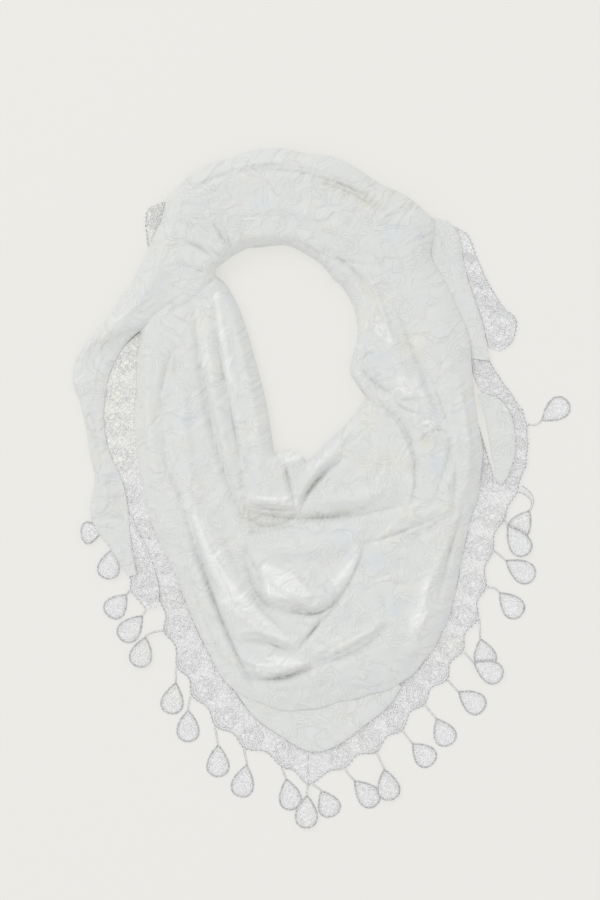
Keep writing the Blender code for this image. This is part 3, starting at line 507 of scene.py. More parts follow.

# Soft-edged quadrilaterals that are brighter (or darker) than the rest, and creamier (or bluer): partly where
# more or fewer layers of the thin cloth lie over each other, and partly painted highlight and painted shade.
# Corners go clockwise as seen on the board.
PATCHES = [
    # bright bands of the drape: painted highlight, partly more layers of cloth
    Patch(190, 508, 203, 518, 244, 592, 222, 604, 5, 0.75, 0.0),
    Patch(222, 600, 246, 592, 299, 644, 262, 632, 4, 0.65, 0.0),
    Patch(262, 563, 292, 571, 313, 596, 266, 598, 4, 0.85, 0.1),
    Patch(331, 580, 359, 551, 353, 574, 338, 594, 3, 0.80, 0.1),
    Patch(250, 660, 276, 653, 310, 662, 262, 676, 4, 0.80, 0.0),
    Patch(238, 640, 262, 638, 298, 650, 262, 650, 4, 0.30, 0.0),
    Patch(246, 496, 298, 496, 297, 506, 246, 503, 3, 0.70, 0.3),
    Patch(418, 586, 436, 562, 430, 612, 408, 636, 9, 0.60, 0.0),
    Patch(408, 614, 428, 606, 417, 646, 400, 646, 6, 0.42, 0.0),
    Patch(366, 545, 414, 502, 460, 506, 396, 541, 4, 0.30, 0.5),
    Patch(318, 655, 372, 624, 384, 621, 330, 657, 3, 0.45, 0.0),
    # pockets and shadows of the drape: painted shade, and some patches only bluer
    Patch(245, 509, 297, 511, 293, 528, 250, 537, 4, -0.65, 0.4),
    Patch(288, 603, 303, 603, 312, 613, 292, 612, 3, -0.80, 0.4),
    Patch(274, 673, 310, 662, 314, 668, 280, 681, 3, -0.65, 0.3),
    Patch(300, 512, 350, 508, 350, 515, 300, 520, 3, -0.50, 0.4),
    Patch(306, 610, 330, 608, 322, 616, 308, 617, 3, -0.40, 0.3),
    Patch(236, 470, 246, 470, 252, 530, 242, 520, 4, -0.35, 0.5),
    Patch(386, 626, 412, 640, 412, 668, 386, 652, 8, -0.15, -0.3),
    Patch(315, 595, 352, 596, 352, 632, 322, 630, 10, -0.15, -0.7),
    Patch(355, 548, 392, 548, 392, 600, 358, 604, 12, 0.05, -0.5),
    Patch(280, 690, 420, 650, 400, 690, 300, 704, 12, -0.10, -0.5),
    Patch(270, 520, 360, 526, 350, 560, 280, 556, 12, -0.05, -0.4),
    # the fold inside the opening and the rolled edge: painted highlight and painted shade
    Patch(276, 452, 300, 449, 306, 458, 282, 465, 3, 0.80, 0.2),
    Patch(284, 464, 303, 460, 297, 482, 285, 480, 3, -0.30, 0.3),
    Patch(306, 466, 340, 440, 346, 448, 312, 476, 4, 0.45, 0.1),
    Patch(352, 408, 372, 404, 396, 440, 366, 470, 10, 0.15, 0.5),
    # left strand
    Patch(211, 290, 220, 292, 239, 392, 228, 380, 4, 0.65, 0.1),
    Patch(194, 300, 208, 300, 214, 385, 200, 356, 6, 0.35, 0.2),
    Patch(228, 400, 262, 404, 268, 446, 240, 446, 8, 0.15, 0.1),
    Patch(162, 446, 174, 446, 196, 508, 184, 508, 5, 0.35, 0.1),
    Patch(182, 300, 194, 300, 196, 350, 186, 348, 6, -0.25, 0.4),
    Patch(136, 400, 160, 400, 162, 470, 142, 470, 10, -0.10, 0.5),
    Patch(160, 350, 180, 350, 176, 372, 162, 372, 6, -0.25, 0.0),
    Patch(176, 400, 206, 400, 214, 440, 184, 440, 8, 0.05, -0.5),
    # right strand
    Patch(349, 284, 370, 280, 382, 318, 359, 334, 4, 0.20, 0.9),
    Patch(371, 328, 386, 323, 393, 346, 378, 338, 3, 0.65, 0.1),
    Patch(370, 282, 400, 282, 412, 316, 386, 326, 7, -0.10, 0.3),
    Patch(366, 350, 392, 350, 400, 392, 368, 384, 9, 0.00, -0.8),
    Patch(397, 377, 415, 378, 418, 392, 394, 392, 3, 0.55, 0.3),
    Patch(401, 392, 422, 390, 424, 398, 402, 400, 2, 0.55, 0.0),
    Patch(422, 420, 434, 421, 436, 433, 420, 434, 3, 0.80, 0.1),
    Patch(414, 368, 428, 368, 442, 416, 430, 420, 5, -0.05, -0.9),
    Patch(420, 436, 446, 436, 444, 446, 424, 446, 4, -0.40, 0.6),
    Patch(430, 446, 450, 446, 440, 490, 424, 490, 6, -0.10, -0.8),
    Patch(432, 366, 446, 366, 450, 400, 438, 400, 5, 0.25, 0.4),
    Patch(395, 330, 430, 330, 440, 366, 400, 366, 10, -0.05, 0.6),
    Patch(380, 440, 406, 446, 406, 490, 376, 480, 10, 0.05, 0.6),
    # neck band, wrap and tail
    # broad painted shade over the neck band, and over the wrap and tail
    Patch(110, 146, 480, 146, 450, 268, 110, 290, 60, -0.24, 0.0),
    Patch(66, 330, 124, 330, 134, 570, 88, 570, 24, -0.20, 0.0),
    Patch(262, 158, 340, 154, 372, 168, 300, 168, 5, 0.25, -0.2),
    Patch(300, 176, 350, 184, 396, 214, 340, 200, 6, -0.25, 0.5),
    Patch(248, 196, 300, 196, 300, 232, 252, 232, 12, 0.05, -0.4),
    Patch(380, 226, 424, 232, 436, 270, 400, 262, 10, 0.10, -0.8),
    Patch(170, 248, 196, 246, 198, 282, 172, 284, 8, 0.25, -0.2),
    Patch(186, 196, 232, 184, 240, 214, 196, 226, 10, -0.10, -0.3),
    Patch(150, 268, 176, 262, 150, 308, 128, 312, 10, 0.05, -0.3),
    Patch(76, 362, 92, 360, 90, 384, 76, 384, 4, 0.30, -0.1),
    Patch(94, 470, 116, 470, 120, 514, 96, 514, 5, -0.15, -0.1),
]


class ScarfSizes(bpy.types.PropertyGroup):
    cloth_thickness: FloatProperty(
        name="Cloth thickness", description="Thickness of the burnout cloth",
        default=0.0008, min=0.0003, unit="LENGTH"
    )
    cloth_step: FloatProperty(
        name="Cloth mesh step", description="Length of a face of the cloth's mesh",
        default=0.0022, unit="LENGTH"
    )
    hem_roll: FloatProperty(
        name="Edge roll", description="Radius with which a folded edge turns under",
        default=0.0016, unit="LENGTH"
    )
    crease_depth: FloatProperty(
        name="Crease depth", description="Share of the tables' height that the folds have",
        default=1.0, subtype="FACTOR"
    )
    rose_pitch: FloatProperty(
        name="Rose pitch", description="Distance between the cloth's rose motifs",
        default=0.048, unit="LENGTH"
    )
    net_pitch: FloatProperty(
        name="Net pitch", description="Distance between the threads of the lace's net",
        default=0.0028, unit="LENGTH"
    )
    tulle_thickness: FloatProperty(
        name="Tulle thickness", description="Thickness of the tulle under the lace's threads",
        default=0.0003, unit="LENGTH"
    )
    thread_radius: FloatProperty(
        name="Thread radius", description="Radius of a lace thread", default=0.00042, unit="LENGTH"
    )
    cord_radius: FloatProperty(
        name="Cord radius", description="Radius of the cords round the lace's motifs and drops",
        default=0.0005, unit="LENGTH"
    )
    bead_radius: FloatProperty(
        name="Bead radius", description="Radius of the beads on the lace's rims",
        default=0.0007, unit="LENGTH"
    )
    medallion_radius: FloatProperty(
        name="Medallion radius", description="Radius of the lace's round medallions",
        default=0.0115, unit="LENGTH"
    )


class ScarfColours(bpy.types.PropertyGroup):
    cloth: FloatVectorProperty(
        name="Cloth", description="Colour of the cloth's full motifs",
        default=(0.81, 0.82, 0.80), subtype="COLOR"
    )
    sheer: FloatVectorProperty(
        name="Sheer ground", description="Colour of the cloth's sheer ground",
        default=(0.758, 0.770, 0.758), subtype="COLOR"
    )
    warm: FloatVectorProperty(
        name="Creamy ground", description="Colour of the ground where it is warmest",
        default=(0.772, 0.772, 0.71), subtype="COLOR"
    )
    cool: FloatVectorProperty(
        name="Cool ground", description="Colour of the ground where it is coolest",
        default=(0.72, 0.745, 0.765), subtype="COLOR"
    )
    # bright and shadow are painted highlight and painted shade laid into the cloth's colour; shadow is also
    # the colour that the roses' outlines lean towards
    bright: FloatVectorProperty(
        name="Bright fold", description="Colour of the cloth where its folds catch the light",
        default=(0.95, 0.96, 0.94), subtype="COLOR"
    )
    shadow: FloatVectorProperty(
        name="Shaded crease", description="Colour of the cloth deep in a crease",
        default=(0.50, 0.50, 0.46), subtype="COLOR"
    )
    lace: FloatVectorProperty(
        name="Lace", description="Colour of the lace's threads", default=(0.97, 0.975, 0.97), subtype="COLOR"
    )
    creamy_lace: FloatVectorProperty(
        name="Creamy lace", description="Colour of the lace's tulle where it is warmest",
        default=(0.97, 0.965, 0.91), subtype="COLOR"
    )
    cord: FloatVectorProperty(
        name="Cord", description="Colour of the cords round the motifs and drops",
        default=(0.62, 0.62, 0.62), subtype="COLOR"
    )
    # ground is painted shade: the grey of the tulle between the lace's threads and of the threads' downward
    # sides; bright_ground is the same with painted light on the right
    ground: FloatVectorProperty(
        name="Lace ground", description="Colour low down between the threads",
        default=(0.70, 0.70, 0.70), subtype="COLOR"
    )
    bright_ground: FloatVectorProperty(
        name="Bright lace ground", description="The same on the right, where light comes through",
        default=(0.79, 0.80, 0.81), subtype="COLOR"
    )
    floor: FloatVectorProperty(
        name="Floor", description="Colour of the surface under the scarf",
        default=(0.838, 0.831, 0.799), subtype="COLOR"
    )


def spline_rows(table, at):
    """The table's columns at fractional row numbers, on a smooth curve through its rows."""
    rows = np.array(table, float)
    last = len(rows) - 1
    padded = np.vstack([2 * rows[0] - rows[1], rows, 2 * rows[-1] - rows[-2]])
    first = np.clip(np.floor(at).astype(int), 0, last - 1)
    t = (at - first)[..., None]
    before, start, end, after = (padded[first + k] for k in range(4))
    return 0.5 * (
        2 * start
        + (end - before) * t
        + (2 * before - 5 * start + 4 * end - after) * t**2
        + (3 * start - before - 3 * end + after) * t**3
    )


def rounded(distance, radius):
    """0 at an edge and 1 at the radius from it, on a curve between a parabola and a quarter of an ellipse."""
    t = np.clip(distance / radius, 0, 1)
    return np.maximum(0, 1 - (1 - t) ** 2) ** ROUND_POWER


def smooth(t):
    """0 up to 0 and 1 from 1 on, with soft ends."""
    t = np.clip(t, 0, 1)
    return t * t * (3 - 2 * t)


def waves(x, y, table):
    """The sum of the table's waves at these points."""
    return sum(wave.height * np.sin(x / wave.x_length + y / wave.y_length + wave.start) for wave in table)


def fold_path(fold):
    """Points along the fold's curve, which passes through its three table points."""
    t = np.linspace(0, 1, FOLD_STEPS + 1)
    start, middle, end = (np.array(fold[k : k + 2], float) for k in (0, 2, 4))
    control = 2 * middle - (start + end) / 2
    return np.outer((1 - t) ** 2, start) + np.outer(2 * t * (1 - t), control) + np.outer(t**2, end)


def fold_at(fold, path, x, y):
    """(height, tone) of one fold at these points: most on its path, and nothing past its left or right reach.
    The tone is painted light: painted shade darkest along a trough's line, and a painted highlight near a
    steep-sided ridge's crest."""
    nearest = np.full(x.shape, np.inf)
    height = np.zeros_like(x)
    tone = np.zeros_like(x)
    for k in range(FOLD_STEPS):
        step = path[k + 1] - path[k]
        along = ((x - path[k, 0]) * step[0] + (y - path[k, 1]) * step[1]) / (step @ step)
        on = np.clip(along, 0, 1)
        away_x = x - path[k, 0] - on * step[0]
        away_y = y - path[k, 1] - on * step[1]
        away = np.hypot(away_x, away_y)
        reach = np.where(away_x * step[1] - away_y * step[0] > 0, fold.left, fold.right)
        ends = np.sin(np.pi * np.clip((k + on) / FOLD_STEPS, 0, 1)) ** FOLD_END_POWER
        gone = np.minimum(away / reach, 1)
        closer = away < nearest
        # the tone: painted shade along a trough's line, painted highlight near a steep ridge's crest
        if fold.rise < 0:
            bump = fold.rise * ends * (1 - gone) ** TROUGH_POWER
            line = (1 - np.minimum(away / TROUGH_LINE, 1)) ** TROUGH_LINE_POWER
            light = -min(1.0, -fold.rise / DARKEST_TROUGH) * ends * line
        else:
            bump = fold.rise * ends * (1 + np.cos(np.pi * gone)) / 2
            steep = (1 - gone) * (reach > TROUGH_LINE)
            light = CREST_TONE * min(1.0, fold.rise / BRIGHTEST_CREST) * ends * steep
        height = np.where(closer, bump, height)
        tone = np.where(closer, light, tone)
        nearest = np.minimum(nearest, away)
    return height, tone


def fold_relief(x, y, folds):
    """(height, tone) of all these folds together at plan points; the tone is their painted shade and painted
    highlight.
    """
    relief = np.zeros_like(x)
    tone = np.zeros_like(x)
    for fold in folds:
        path = fold_path(fold)
        reach = max(fold.left, fold.right)
        low = path.min(axis=0) - reach
        high = path.max(axis=0) + reach
        near = (x > low[0]) & (x < high[0]) & (y > low[1]) & (y < high[1])
        if near.any():
            height, light = fold_at(fold, path, x[near], y[near])
            relief[near] += height
            tone[near] += light
    return relief, tone


def patch_share(patch, x, y):
    """1 well inside the patch's quadrilateral and 0 outside it, with a soft edge."""
    corners = np.array(patch[:8], float).reshape(4, 2)
    inside = np.full(x.shape, np.inf)
    for k in range(4):
        start, end = corners[k], corners[(k + 1) % 4]
        side = (end - start) / np.hypot(*(end - start))
        inside = np.minimum(inside, (y - start[1]) * side[0] - (x - start[0]) * side[1])
    soft = patch.soft * PATCH_SOFTNESS
    return smooth((inside + soft / 2) / soft)


def painted_light_and_tint(x, y):
    """(tone, warm) of the cloth at plan points, from its patches and its folds: the tone is painted highlight
    and painted shade, partly also for layers of cloth, and warm is its tint.
    """
    tone = np.zeros_like(x)
    warm = np.zeros_like(x)
    for patch in PATCHES:
        share = patch_share(patch, x, y)
        tone += patch.tone * share * PATCH_TONE
        warm += patch.warm * share * PATCH_WARM
    fold_tone = fold_relief(x, y, FOLDS)[1] + fold_relief(x, y, CREASES)[1]
    return tone + FOLD_TONE * np.clip(fold_tone, *FOLD_TONE_LIMITS), warm


def wrinkles(x, y):
    """The cloth's small soft unevenness, in millimetres."""
    swayed_x = x + X_SWAY.reach * np.sin(y / X_SWAY.length + X_SWAY.start)
    swayed_y = y + Y_SWAY.reach * np.sin(x / Y_SWAY.length + Y_SWAY.start)
    return waves(swayed_x, swayed_y, WRINKLES)


def cloth_surface(table, row, across, depth=1.0):
    """Points of the cloth's upper face, in plan millimetres and height, at these rows and shares of the
    width. The outer edge of the folded cloth wanders a little out from its table's line."""
    r = dict(zip(Section._fields, np.moveaxis(spline_rows(table, row), -1, 0)))
    width = np.hypot(r["outer_x"] - r["inner_x"], r["outer_y"] - r["inner_y"])
    loose = np.clip((r["crown"] - FOLDED_CROWN) / FOLDED_CROWN_FADE, 0, 1)
    reach = across + waves(r["outer_x"], r["outer_y"], EDGE_WAVES) * loose * across**2 / width
    x = r["inner_x"] + (r["outer_x"] - r["inner_x"]) * reach
    y = r["inner_y"] + (r["outer_y"] - r["inner_y"]) * reach
    inner_round = np.minimum(INNER_ROUND, width * NARROWEST_INNER_SHARE)
    outer_round = np.minimum(r["outer_round"] * OUTER_ROUND_SHARE, width * WIDEST_OUTER_ROUND)
    from_inner = across * width
    from_outer = (1 - across) * width
    rim = r["inner_rim"] + (r["outer_rim"] - r["inner_rim"]) * across
    full = rounded(from_inner, inner_round) * rounded(from_outer, outer_round)
    edge_fade = np.clip(np.minimum(from_inner, from_outer) / FOLD_FADE, 0, 1)
    large = fold_relief(x, y, FOLDS)[0] * (r["crown"] > FOLDED_CROWN)
    fine = fold_relief(x, y, CREASES)[0] + wrinkles(x, y)
    z = rim + (r["crown"] - rim) * full + (large * depth + fine) * edge_fade
    return np.stack([x, y, z], axis=-1)


def to_world(points):
    """Plan millimetres to metres about the board's centre."""
    x, y, z = np.moveaxis(np.asarray(points, float), -1, 0)
    return np.stack([x - BOARD_CENTRE[0], BOARD_CENTRE[1] - y, z], axis=-1) * MM


def deselect_all():
    bpy.ops.object.select_all(action="DESELECT")


def make_active(piece):
    deselect_all()
    piece.select_set(True)
    bpy.context.view_layer.objects.active = piece


def link_new(name, data):
    piece = bpy.data.objects.new(name, data)
    bpy.context.scene.collection.objects.link(piece)
    return piece


def seat(piece, node):
    """The piece moves with the scarf's one body and stands for the frame's node, which is hidden."""
    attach(piece, "root")
    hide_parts(node)


def thicken(piece, thickness):
    """Gives a modelled face its thickness, below it."""
    wall = piece.modifiers.new("wall", "SOLIDIFY")
    wall.thickness = thickness
    wall.offset = -1
    make_active(piece)
    bpy.ops.object.modifier_apply(modifier=wall.name)


def closed_mesh(name, bm, weld):
    """The finished mesh of a closed solid, welded and with its faces turned outwards."""
    bmesh.ops.remove_doubles(bm, verts=bm.verts, dist=weld)
    bmesh.ops.recalc_face_normals(bm, faces=bm.faces)
    mesh = bpy.data.meshes.new(name)
    bm.to_mesh(mesh)
    bm.free()
    return mesh


# ---------------------------------------------------------------- cloth

def turned_under(grid, side, roll):
    """Extra columns of points where the grid's first or last column turns down and under with this radius."""
    edge, inside = (grid[:, 0], grid[:, 1]) if side == "inner" else (grid[:, -1], grid[:, -2])
    inward = inside - edge
    inward[:, 2] = 0
    inward /= np.linalg.norm(inward, axis=1, keepdims=True)
    radius = np.minimum(roll, edge[:, 2:] * ROLL_HEIGHT_SHARE)
    columns = []
    for angle in np.radians(ROLL_ANGLES):
        column = edge + inward * radius * (1 - math.cos(angle))
        column[:, 2:] -= radius * (ROLL_FLATNESS * math.sin(angle) + ROLL_DROP * angle / math.pi)
        columns.append(column)
    stacked = np.stack(columns, axis=1)
    if side == "inner":
        return np.concatenate([stacked[:, ::-1], grid], axis=1)
    return np.concatenate([grid, stacked], axis=1)


def grid_normals(world):
    """Unit normals of a grid of points, pointing up where the grid lies flat."""
    normal = np.cross(np.gradient(world, axis=1), np.gradient(world, axis=0))
    normal /= np.maximum(np.linalg.norm(normal, axis=-1, keepdims=True), SHORTEST)
    middle = normal[normal.shape[0] // 2, normal.shape[1] // 2]
    return normal if middle[2] > 0 else -normal


def grid_mesh(name, world, upward, weave):
    """A mesh of quads over the grid of points, with the cloth's own flat coordinates as its UV map."""
    rows, columns = world.shape[:2]
    corner = np.arange(rows * columns).reshape(rows, columns)
    quads = np.stack([corner[:-1, :-1], corner[1:, :-1], corner[1:, 1:], corner[:-1, 1:]], axis=-1)
    middle = rows // 2, columns // 2
    a, b, c = world.reshape(-1, 3)[quads[middle][:3]]
    if np.cross(b - a, c - b) @ upward[middle] < 0:
        quads = quads[..., ::-1]
    quads = quads.reshape(-1, 4)
    mesh = bpy.data.meshes.new(name)
    mesh.from_pydata(world.reshape(-1, 3).tolist(), [], quads.tolist())
    layer = mesh.uv_layers.new(name="weave")
    layer.data.foreach_set("uv", weave.reshape(-1, 2)[quads.reshape(-1)].astype(np.float32).reshape(-1))
    mesh.shade_smooth()
    return mesh


def weave_coordinates(world, turn, shift):
    """The cloth's own coordinates in metres, turned so that each layer's pattern runs its own way."""
    c, s = math.cos(turn), math.sin(turn)
    slip = world[..., 2] * PATTERN_SLIP
    x = world[..., 0] + slip
    y = world[..., 1] + slip
    return np.stack([c * x - s * y + shift[0], s * x + c * y + shift[1]], axis=-1)


def cloth_piece(node, grid, ghosts, thickness, turn=0.0, shift=(0.0, 0.0)):
    """A shell of cloth over the grid of plan points. ghosts counts the rows and columns at (first row, last
    row, first column, last column) that only steer the normals where the cloth runs on in the next piece."""
    world = to_world(grid)
    normals = grid_normals(world)
    rows, columns = world.shape[:2]
    keep = np.s_[ghosts[0] : rows - ghosts[1], ghosts[2] : columns - ghosts[3]]
    world, normals = world[keep], normals[keep]
    mesh = grid_mesh(f"{node}_cloth", world, normals, weave_coordinates(world, turn, shift))
    plan = np.asarray(grid, float)[keep]
    # tone carries the painted highlight and painted shade of the patches and folds, and warm the cloth's tint
    tones = painted_light_and_tint(plan[..., 0].reshape(-1), plan[..., 1].reshape(-1))
    for name, values in zip(("tone", "warm"), tones):
        mesh.attributes.new(name, "FLOAT", "POINT").data.foreach_set("value", values.astype(np.float32))
    piece = link_new(f"{node}_cloth", mesh)
    thicken(piece, thickness)
    flat = normals.reshape(-1, 3)
    if len(piece.data.vertices) == 2 * len(flat):
        piece.data.normals_split_custom_set_from_vertices(np.concatenate([flat, -flat]).tolist())
    piece.data.materials.append(finish("burnout_cloth"))
    seat(piece, node)
    return piece, world


def grid_size(world):
    """(greatest width, greatest length, area) of the sheet that this grid of points makes."""
    across = np.linalg.norm(np.diff(world, axis=1), axis=-1).sum(axis=1)
    along = np.linalg.norm(np.diff(world, axis=0), axis=-1).sum(axis=0)
    a = np.cross(world[1:, 1:] - world[:-1, :-1], world[1:, :-1] - world[:-1, 1:])
    return across.max(), along.max(), np.linalg.norm(a, axis=-1).sum() / 2


def declare_sheet(piece, world, with_pieces=()):
    """Works out the sheet's cut: its greatest flat width and length, and its own area between likely bounds;
    the values are not kept.
    """
    width, length, area = grid_size(world)
    area = min(max(area, SMALLEST_CUT_SHARE * width * length), width * length)


def shares(width, step):
    """Even shares of a width that are about a step long."""
    return np.linspace(0, 1, max(3, round(width / step)) + 1)


def stretch(table, first, last, step, depth, across=None, ghosts=(0, 0)):
    """A fine grid of plan points over a stretch of a table, with a ghost row where the cloth runs on."""
    middle = spline_rows(table, np.linspace(first, last, TABLE_SAMPLES))
    reach = np.hypot(np.diff(middle[:, 2]), np.diff(middle[:, 3])).sum()
    inner_reach = np.hypot(np.diff(middle[:, 0]), np.diff(middle[:, 1])).sum()
    rows = max(4, round(max(reach, inner_reach) * ROW_CLOSENESS / step))
    width = np.hypot(middle[:, 2] - middle[:, 0], middle[:, 3] - middle[:, 1]).max()
    if across is None:
        across = shares(width, step)
    pace = (last - first) / rows
    at = first + pace * np.arange(-ghosts[0], rows + 1 + ghosts[1])
    row, share = np.meshgrid(at, across, indexing="ij")
    return cloth_surface(table, row, share, depth)


# Each stretch of cloth: its table's first and last row, whether it runs on into the next stretch at each
# end, how far its inner and outer edges turn under as a share of the full roll, whether its pattern is
# turned, and what it lies on.
Stretch = namedtuple("Stretch", "node table first last before after inner_roll outer_roll turned rests_on")
LEFT_STRAND = Stretch("left_strand", RING, STRAND_START, 6, 0, 1, 1, 0.5, 0, "hidden_layers_left_folds")
RIGHT_STRAND = Stretch("right_strand", RING, 18, 27, 1, 1, 1, 0.5, 0, "hidden_layers_right_folds")
NECK_BAND = Stretch("neck_band", RING, 27, 36, 1, 0, 1, 1, 0, "hidden_layers_band_folds")
TAIL_STRETCHES = (
    Stretch("left_wrap", TAIL, 0, 8, 0, 1, 0.5, 1, 0, "hidden_layers_wrap_folds"),
    Stretch("left_tail", TAIL, 8, 19, 1, 0, 0.5, 0.5, 0, "edging_front_left_lace"),
    Stretch("hem_layer", HEM_LAYER, 0, 7, 0, 0, 0.5, 0.5, 1, "edging_front_left_lace"),
    Stretch("right_tail_upper", RIGHT_TAIL_UPPER, 0, 9, 0, 0, 0.5, 0.5, 1, "edging_right_corner_lace"),
    Stretch("right_tail_lower", RIGHT_TAIL_LOWER, 0, 6, 0, 0, 0.5, 0.5, 1, "edging_right_tail_lace"),
)


def add_stretch(part, sizes):
    """One stretch of cloth with both its edges turned under."""
    step = sizes.cloth_step / MM
    roll = sizes.hem_roll / MM
    ghosts = (part.before, part.after)
    grid = stretch(part.table, part.first, part.last, step, sizes.crease_depth, ghosts=ghosts)
    grid = turned_under(grid, "inner", roll * part.inner_roll)
    grid = turned_under(grid, "outer", roll * part.outer_roll)
    ghosts = (part.before, part.after, 0, 0)
    turn = (PATTERN_TURN, PATTERN_SHIFT) if part.turned else ()
    piece, world = cloth_piece(part.node, grid, ghosts, sizes.cloth_thickness, *turn)
    declare_sheet(piece, world)


def build_front(sizes):
    """The front of the ring: the rolled edge below the opening and the drape that runs on from it."""
    roll = sizes.hem_roll / MM
    rolled = np.linspace(0, FRONT_ROLL_SHARE, FRONT_ROLL_COLUMNS)
    draped = np.linspace(FRONT_ROLL_SHARE, 1, FRONT_DRAPE_COLUMNS)
    across = np.concatenate([rolled, draped[1:]])
    front = stretch(RING, *FRONT_ROWS, sizes.cloth_step / MM, sizes.crease_depth, across, ghosts=(1, 1))
    last = FRONT_ROLL_COLUMNS - 1
    roll_grid = turned_under(front[:, : last + 2], "inner", roll)
    piece, world = cloth_piece("inner_roll", roll_grid, (1, 1, 0, 1), sizes.cloth_thickness)
    declare_sheet(piece, world)
    drape_grid = turned_under(front[:, last - 1 :], "outer", roll * TUCKED_ROLL_SHARE)
    piece, world = cloth_piece("front_drape", drape_grid, (1, 1, 1, 0), sizes.cloth_thickness)
    declare_sheet(piece, world)


def build_ring(sizes):
    add_stretch(LEFT_STRAND, sizes)
    build_front(sizes)
    add_stretch(RIGHT_STRAND, sizes)
    add_stretch(NECK_BAND, sizes)


def build_tails(sizes):
    for part in TAIL_STRETCHES:
        add_stretch(part, sizes)


# ---------------------------------------------------------------- hidden layers

LAYER_STEP = 5.0
LAYER_HEIGHT = 1.9
LAYER_CLEARANCE = 2.4
LAYER_REACH = 0.80
FURTHEST_REACH = 0.97
LAYER_ANGLES = (0.0, 0.22, 0.5, 0.78, 1.0)
LAYER_BULGE = 0.09
SHELF_DROP = 0.9
LOWEST_SHELF = 1.6
LOWEST_TOP = 0.6
STEEPEST_SLOPE = 0.42
PLAIN_RIM_SHARE = 0.6
EDGE_PACE = 0.6

# How a layer's edge wanders: a share of its reach, and its pace along the edge and from layer to layer.
Wander = namedtuple("Wander", "share along layer")
LAYER_WANDERS = (Wander(0.09, 0.31, 2.1), Wander(0.05, 0.83, 1.3))

# Each stack of layers: its table's first and last row, how many points its top lies in from the inner and
# the outer edge of the cloth, and whether its folds show at those edges.
Layers = namedtuple("Layers", "node table first last inner_in outer_in inner_folds outer_folds")
LAYER_STACKS = (
    Layers("hidden_layers_left", RING, 0, 6, 3, 5, 1, 0),
    Layers("hidden_layers_front", RING, *FRONT_ROWS, 3, 5, 1, 0),
    Layers("hidden_layers_right", RING, 18, 27, 3, 5, 1, 0),
    Layers("hidden_layers_band", RING, 27, 36, 3, 3, 1, 1),
    Layers("hidden_layers_wrap", TAIL, 0, 8, 3, 5, 0, 0),
)


def layer_profile(rim, base, count, at):
    """Points down the folded edges of a stack of layers at one place on it, from its shelf to the floor."""
    outward = rim[:2] - base[:2]
    shelf = max(rim[2] - SHELF_DROP, LOWEST_SHELF)
    points = []
    for layer in range(count):
        top = shelf * (1 - layer / count)
        bottom = shelf * (1 - (layer + 1) / count)
        push = LAYER_REACH
        for wander in LAYER_WANDERS:
            push += wander.share * math.sin(wander.along * at + wander.layer * layer)
        for share in LAYER_ANGLES:
            bulge = push + LAYER_BULGE * math.sin(math.pi * share)
            points.append((*(base[:2] + outward * min(bulge, FURTHEST_REACH)), top + (bottom - top) * share))
    return points


def grid_border(rows, columns):
    """The (row, column) of each point round a grid's border, in order."""
    border = [(0, c) for c in range(columns)]
    border += [(r, columns - 1) for r in range(1, rows)]
    border += [(rows - 1, c) for c in range(columns - 2, -1, -1)]
    return border + [(r, 0) for r in range(rows - 2, 0, -1)]


def layer_stack(stack, depth):
    """The folded layers under a stretch: a closed solid with a flat base and a fold for each layer."""
    grid = stretch(stack.table, stack.first, stack.last, LAYER_STEP, depth)
    top = grid.copy()
    slope = np.abs(grid_normals(to_world(grid))[..., 2])
    top[..., 2] -= LAYER_CLEARANCE / np.maximum(slope, STEEPEST_SLOPE)
    inner = top[1:-1, stack.inner_in : top.shape[1] - stack.outer_in]
    inner[..., 2] = np.maximum(inner[..., 2], LOWEST_TOP)
    rows, columns = inner.shape[:2]
    count = max(2, round(float(np.median(grid[:, 0, 2])) / LAYER_HEIGHT))
    bm = bmesh.new()
    verts = [[bm.verts.new(to_world(inner[r, c])) for c in range(columns)] for r in range(rows)]
    for r in range(rows - 1):
        for c in range(columns - 1):
            bm.faces.new((verts[r][c], verts[r + 1][c], verts[r + 1][c + 1], verts[r][c + 1]))
    border = grid_border(rows, columns)
    walls = []
    for k, (r, c) in enumerate(border):
        base = inner[r, c]
        if c == 0 and stack.inner_folds:
            rim = grid[r + 1, 0]
        elif c == columns - 1 and stack.outer_folds:
            rim = grid[r + 1, -1]
        else:
            rim = np.array([base[0], base[1], max(base[2] * PLAIN_RIM_SHARE, LOWEST_SHELF)])
        profile = layer_profile(rim, base, count, k * EDGE_PACE)
        walls.append([bm.verts.new(to_world(point)) for point in profile])
    for k, (r, c) in enumerate(border):
        after = (k + 1) % len(border)
        next_r, next_c = border[after]
        above = verts[r][c], verts[next_r][next_c]
        for low_here, low_after in zip(walls[k], walls[after]):
            bm.faces.new((above[0], above[1], low_after, low_here))
            above = low_here, low_after
    bm.faces.new([wall[-1] for wall in walls])
    mesh = closed_mesh(f"{stack.node}_folds", bm, WELD)
    mesh.shade_smooth()
    piece = link_new(mesh.name, mesh)
    piece.data.materials.append(finish("folded_layers"))
    seat(piece, stack.node)


def build_layers(sizes):
    for stack in LAYER_STACKS:
        layer_stack(stack, sizes.crease_depth)


# ---------------------------------------------------------------- lace

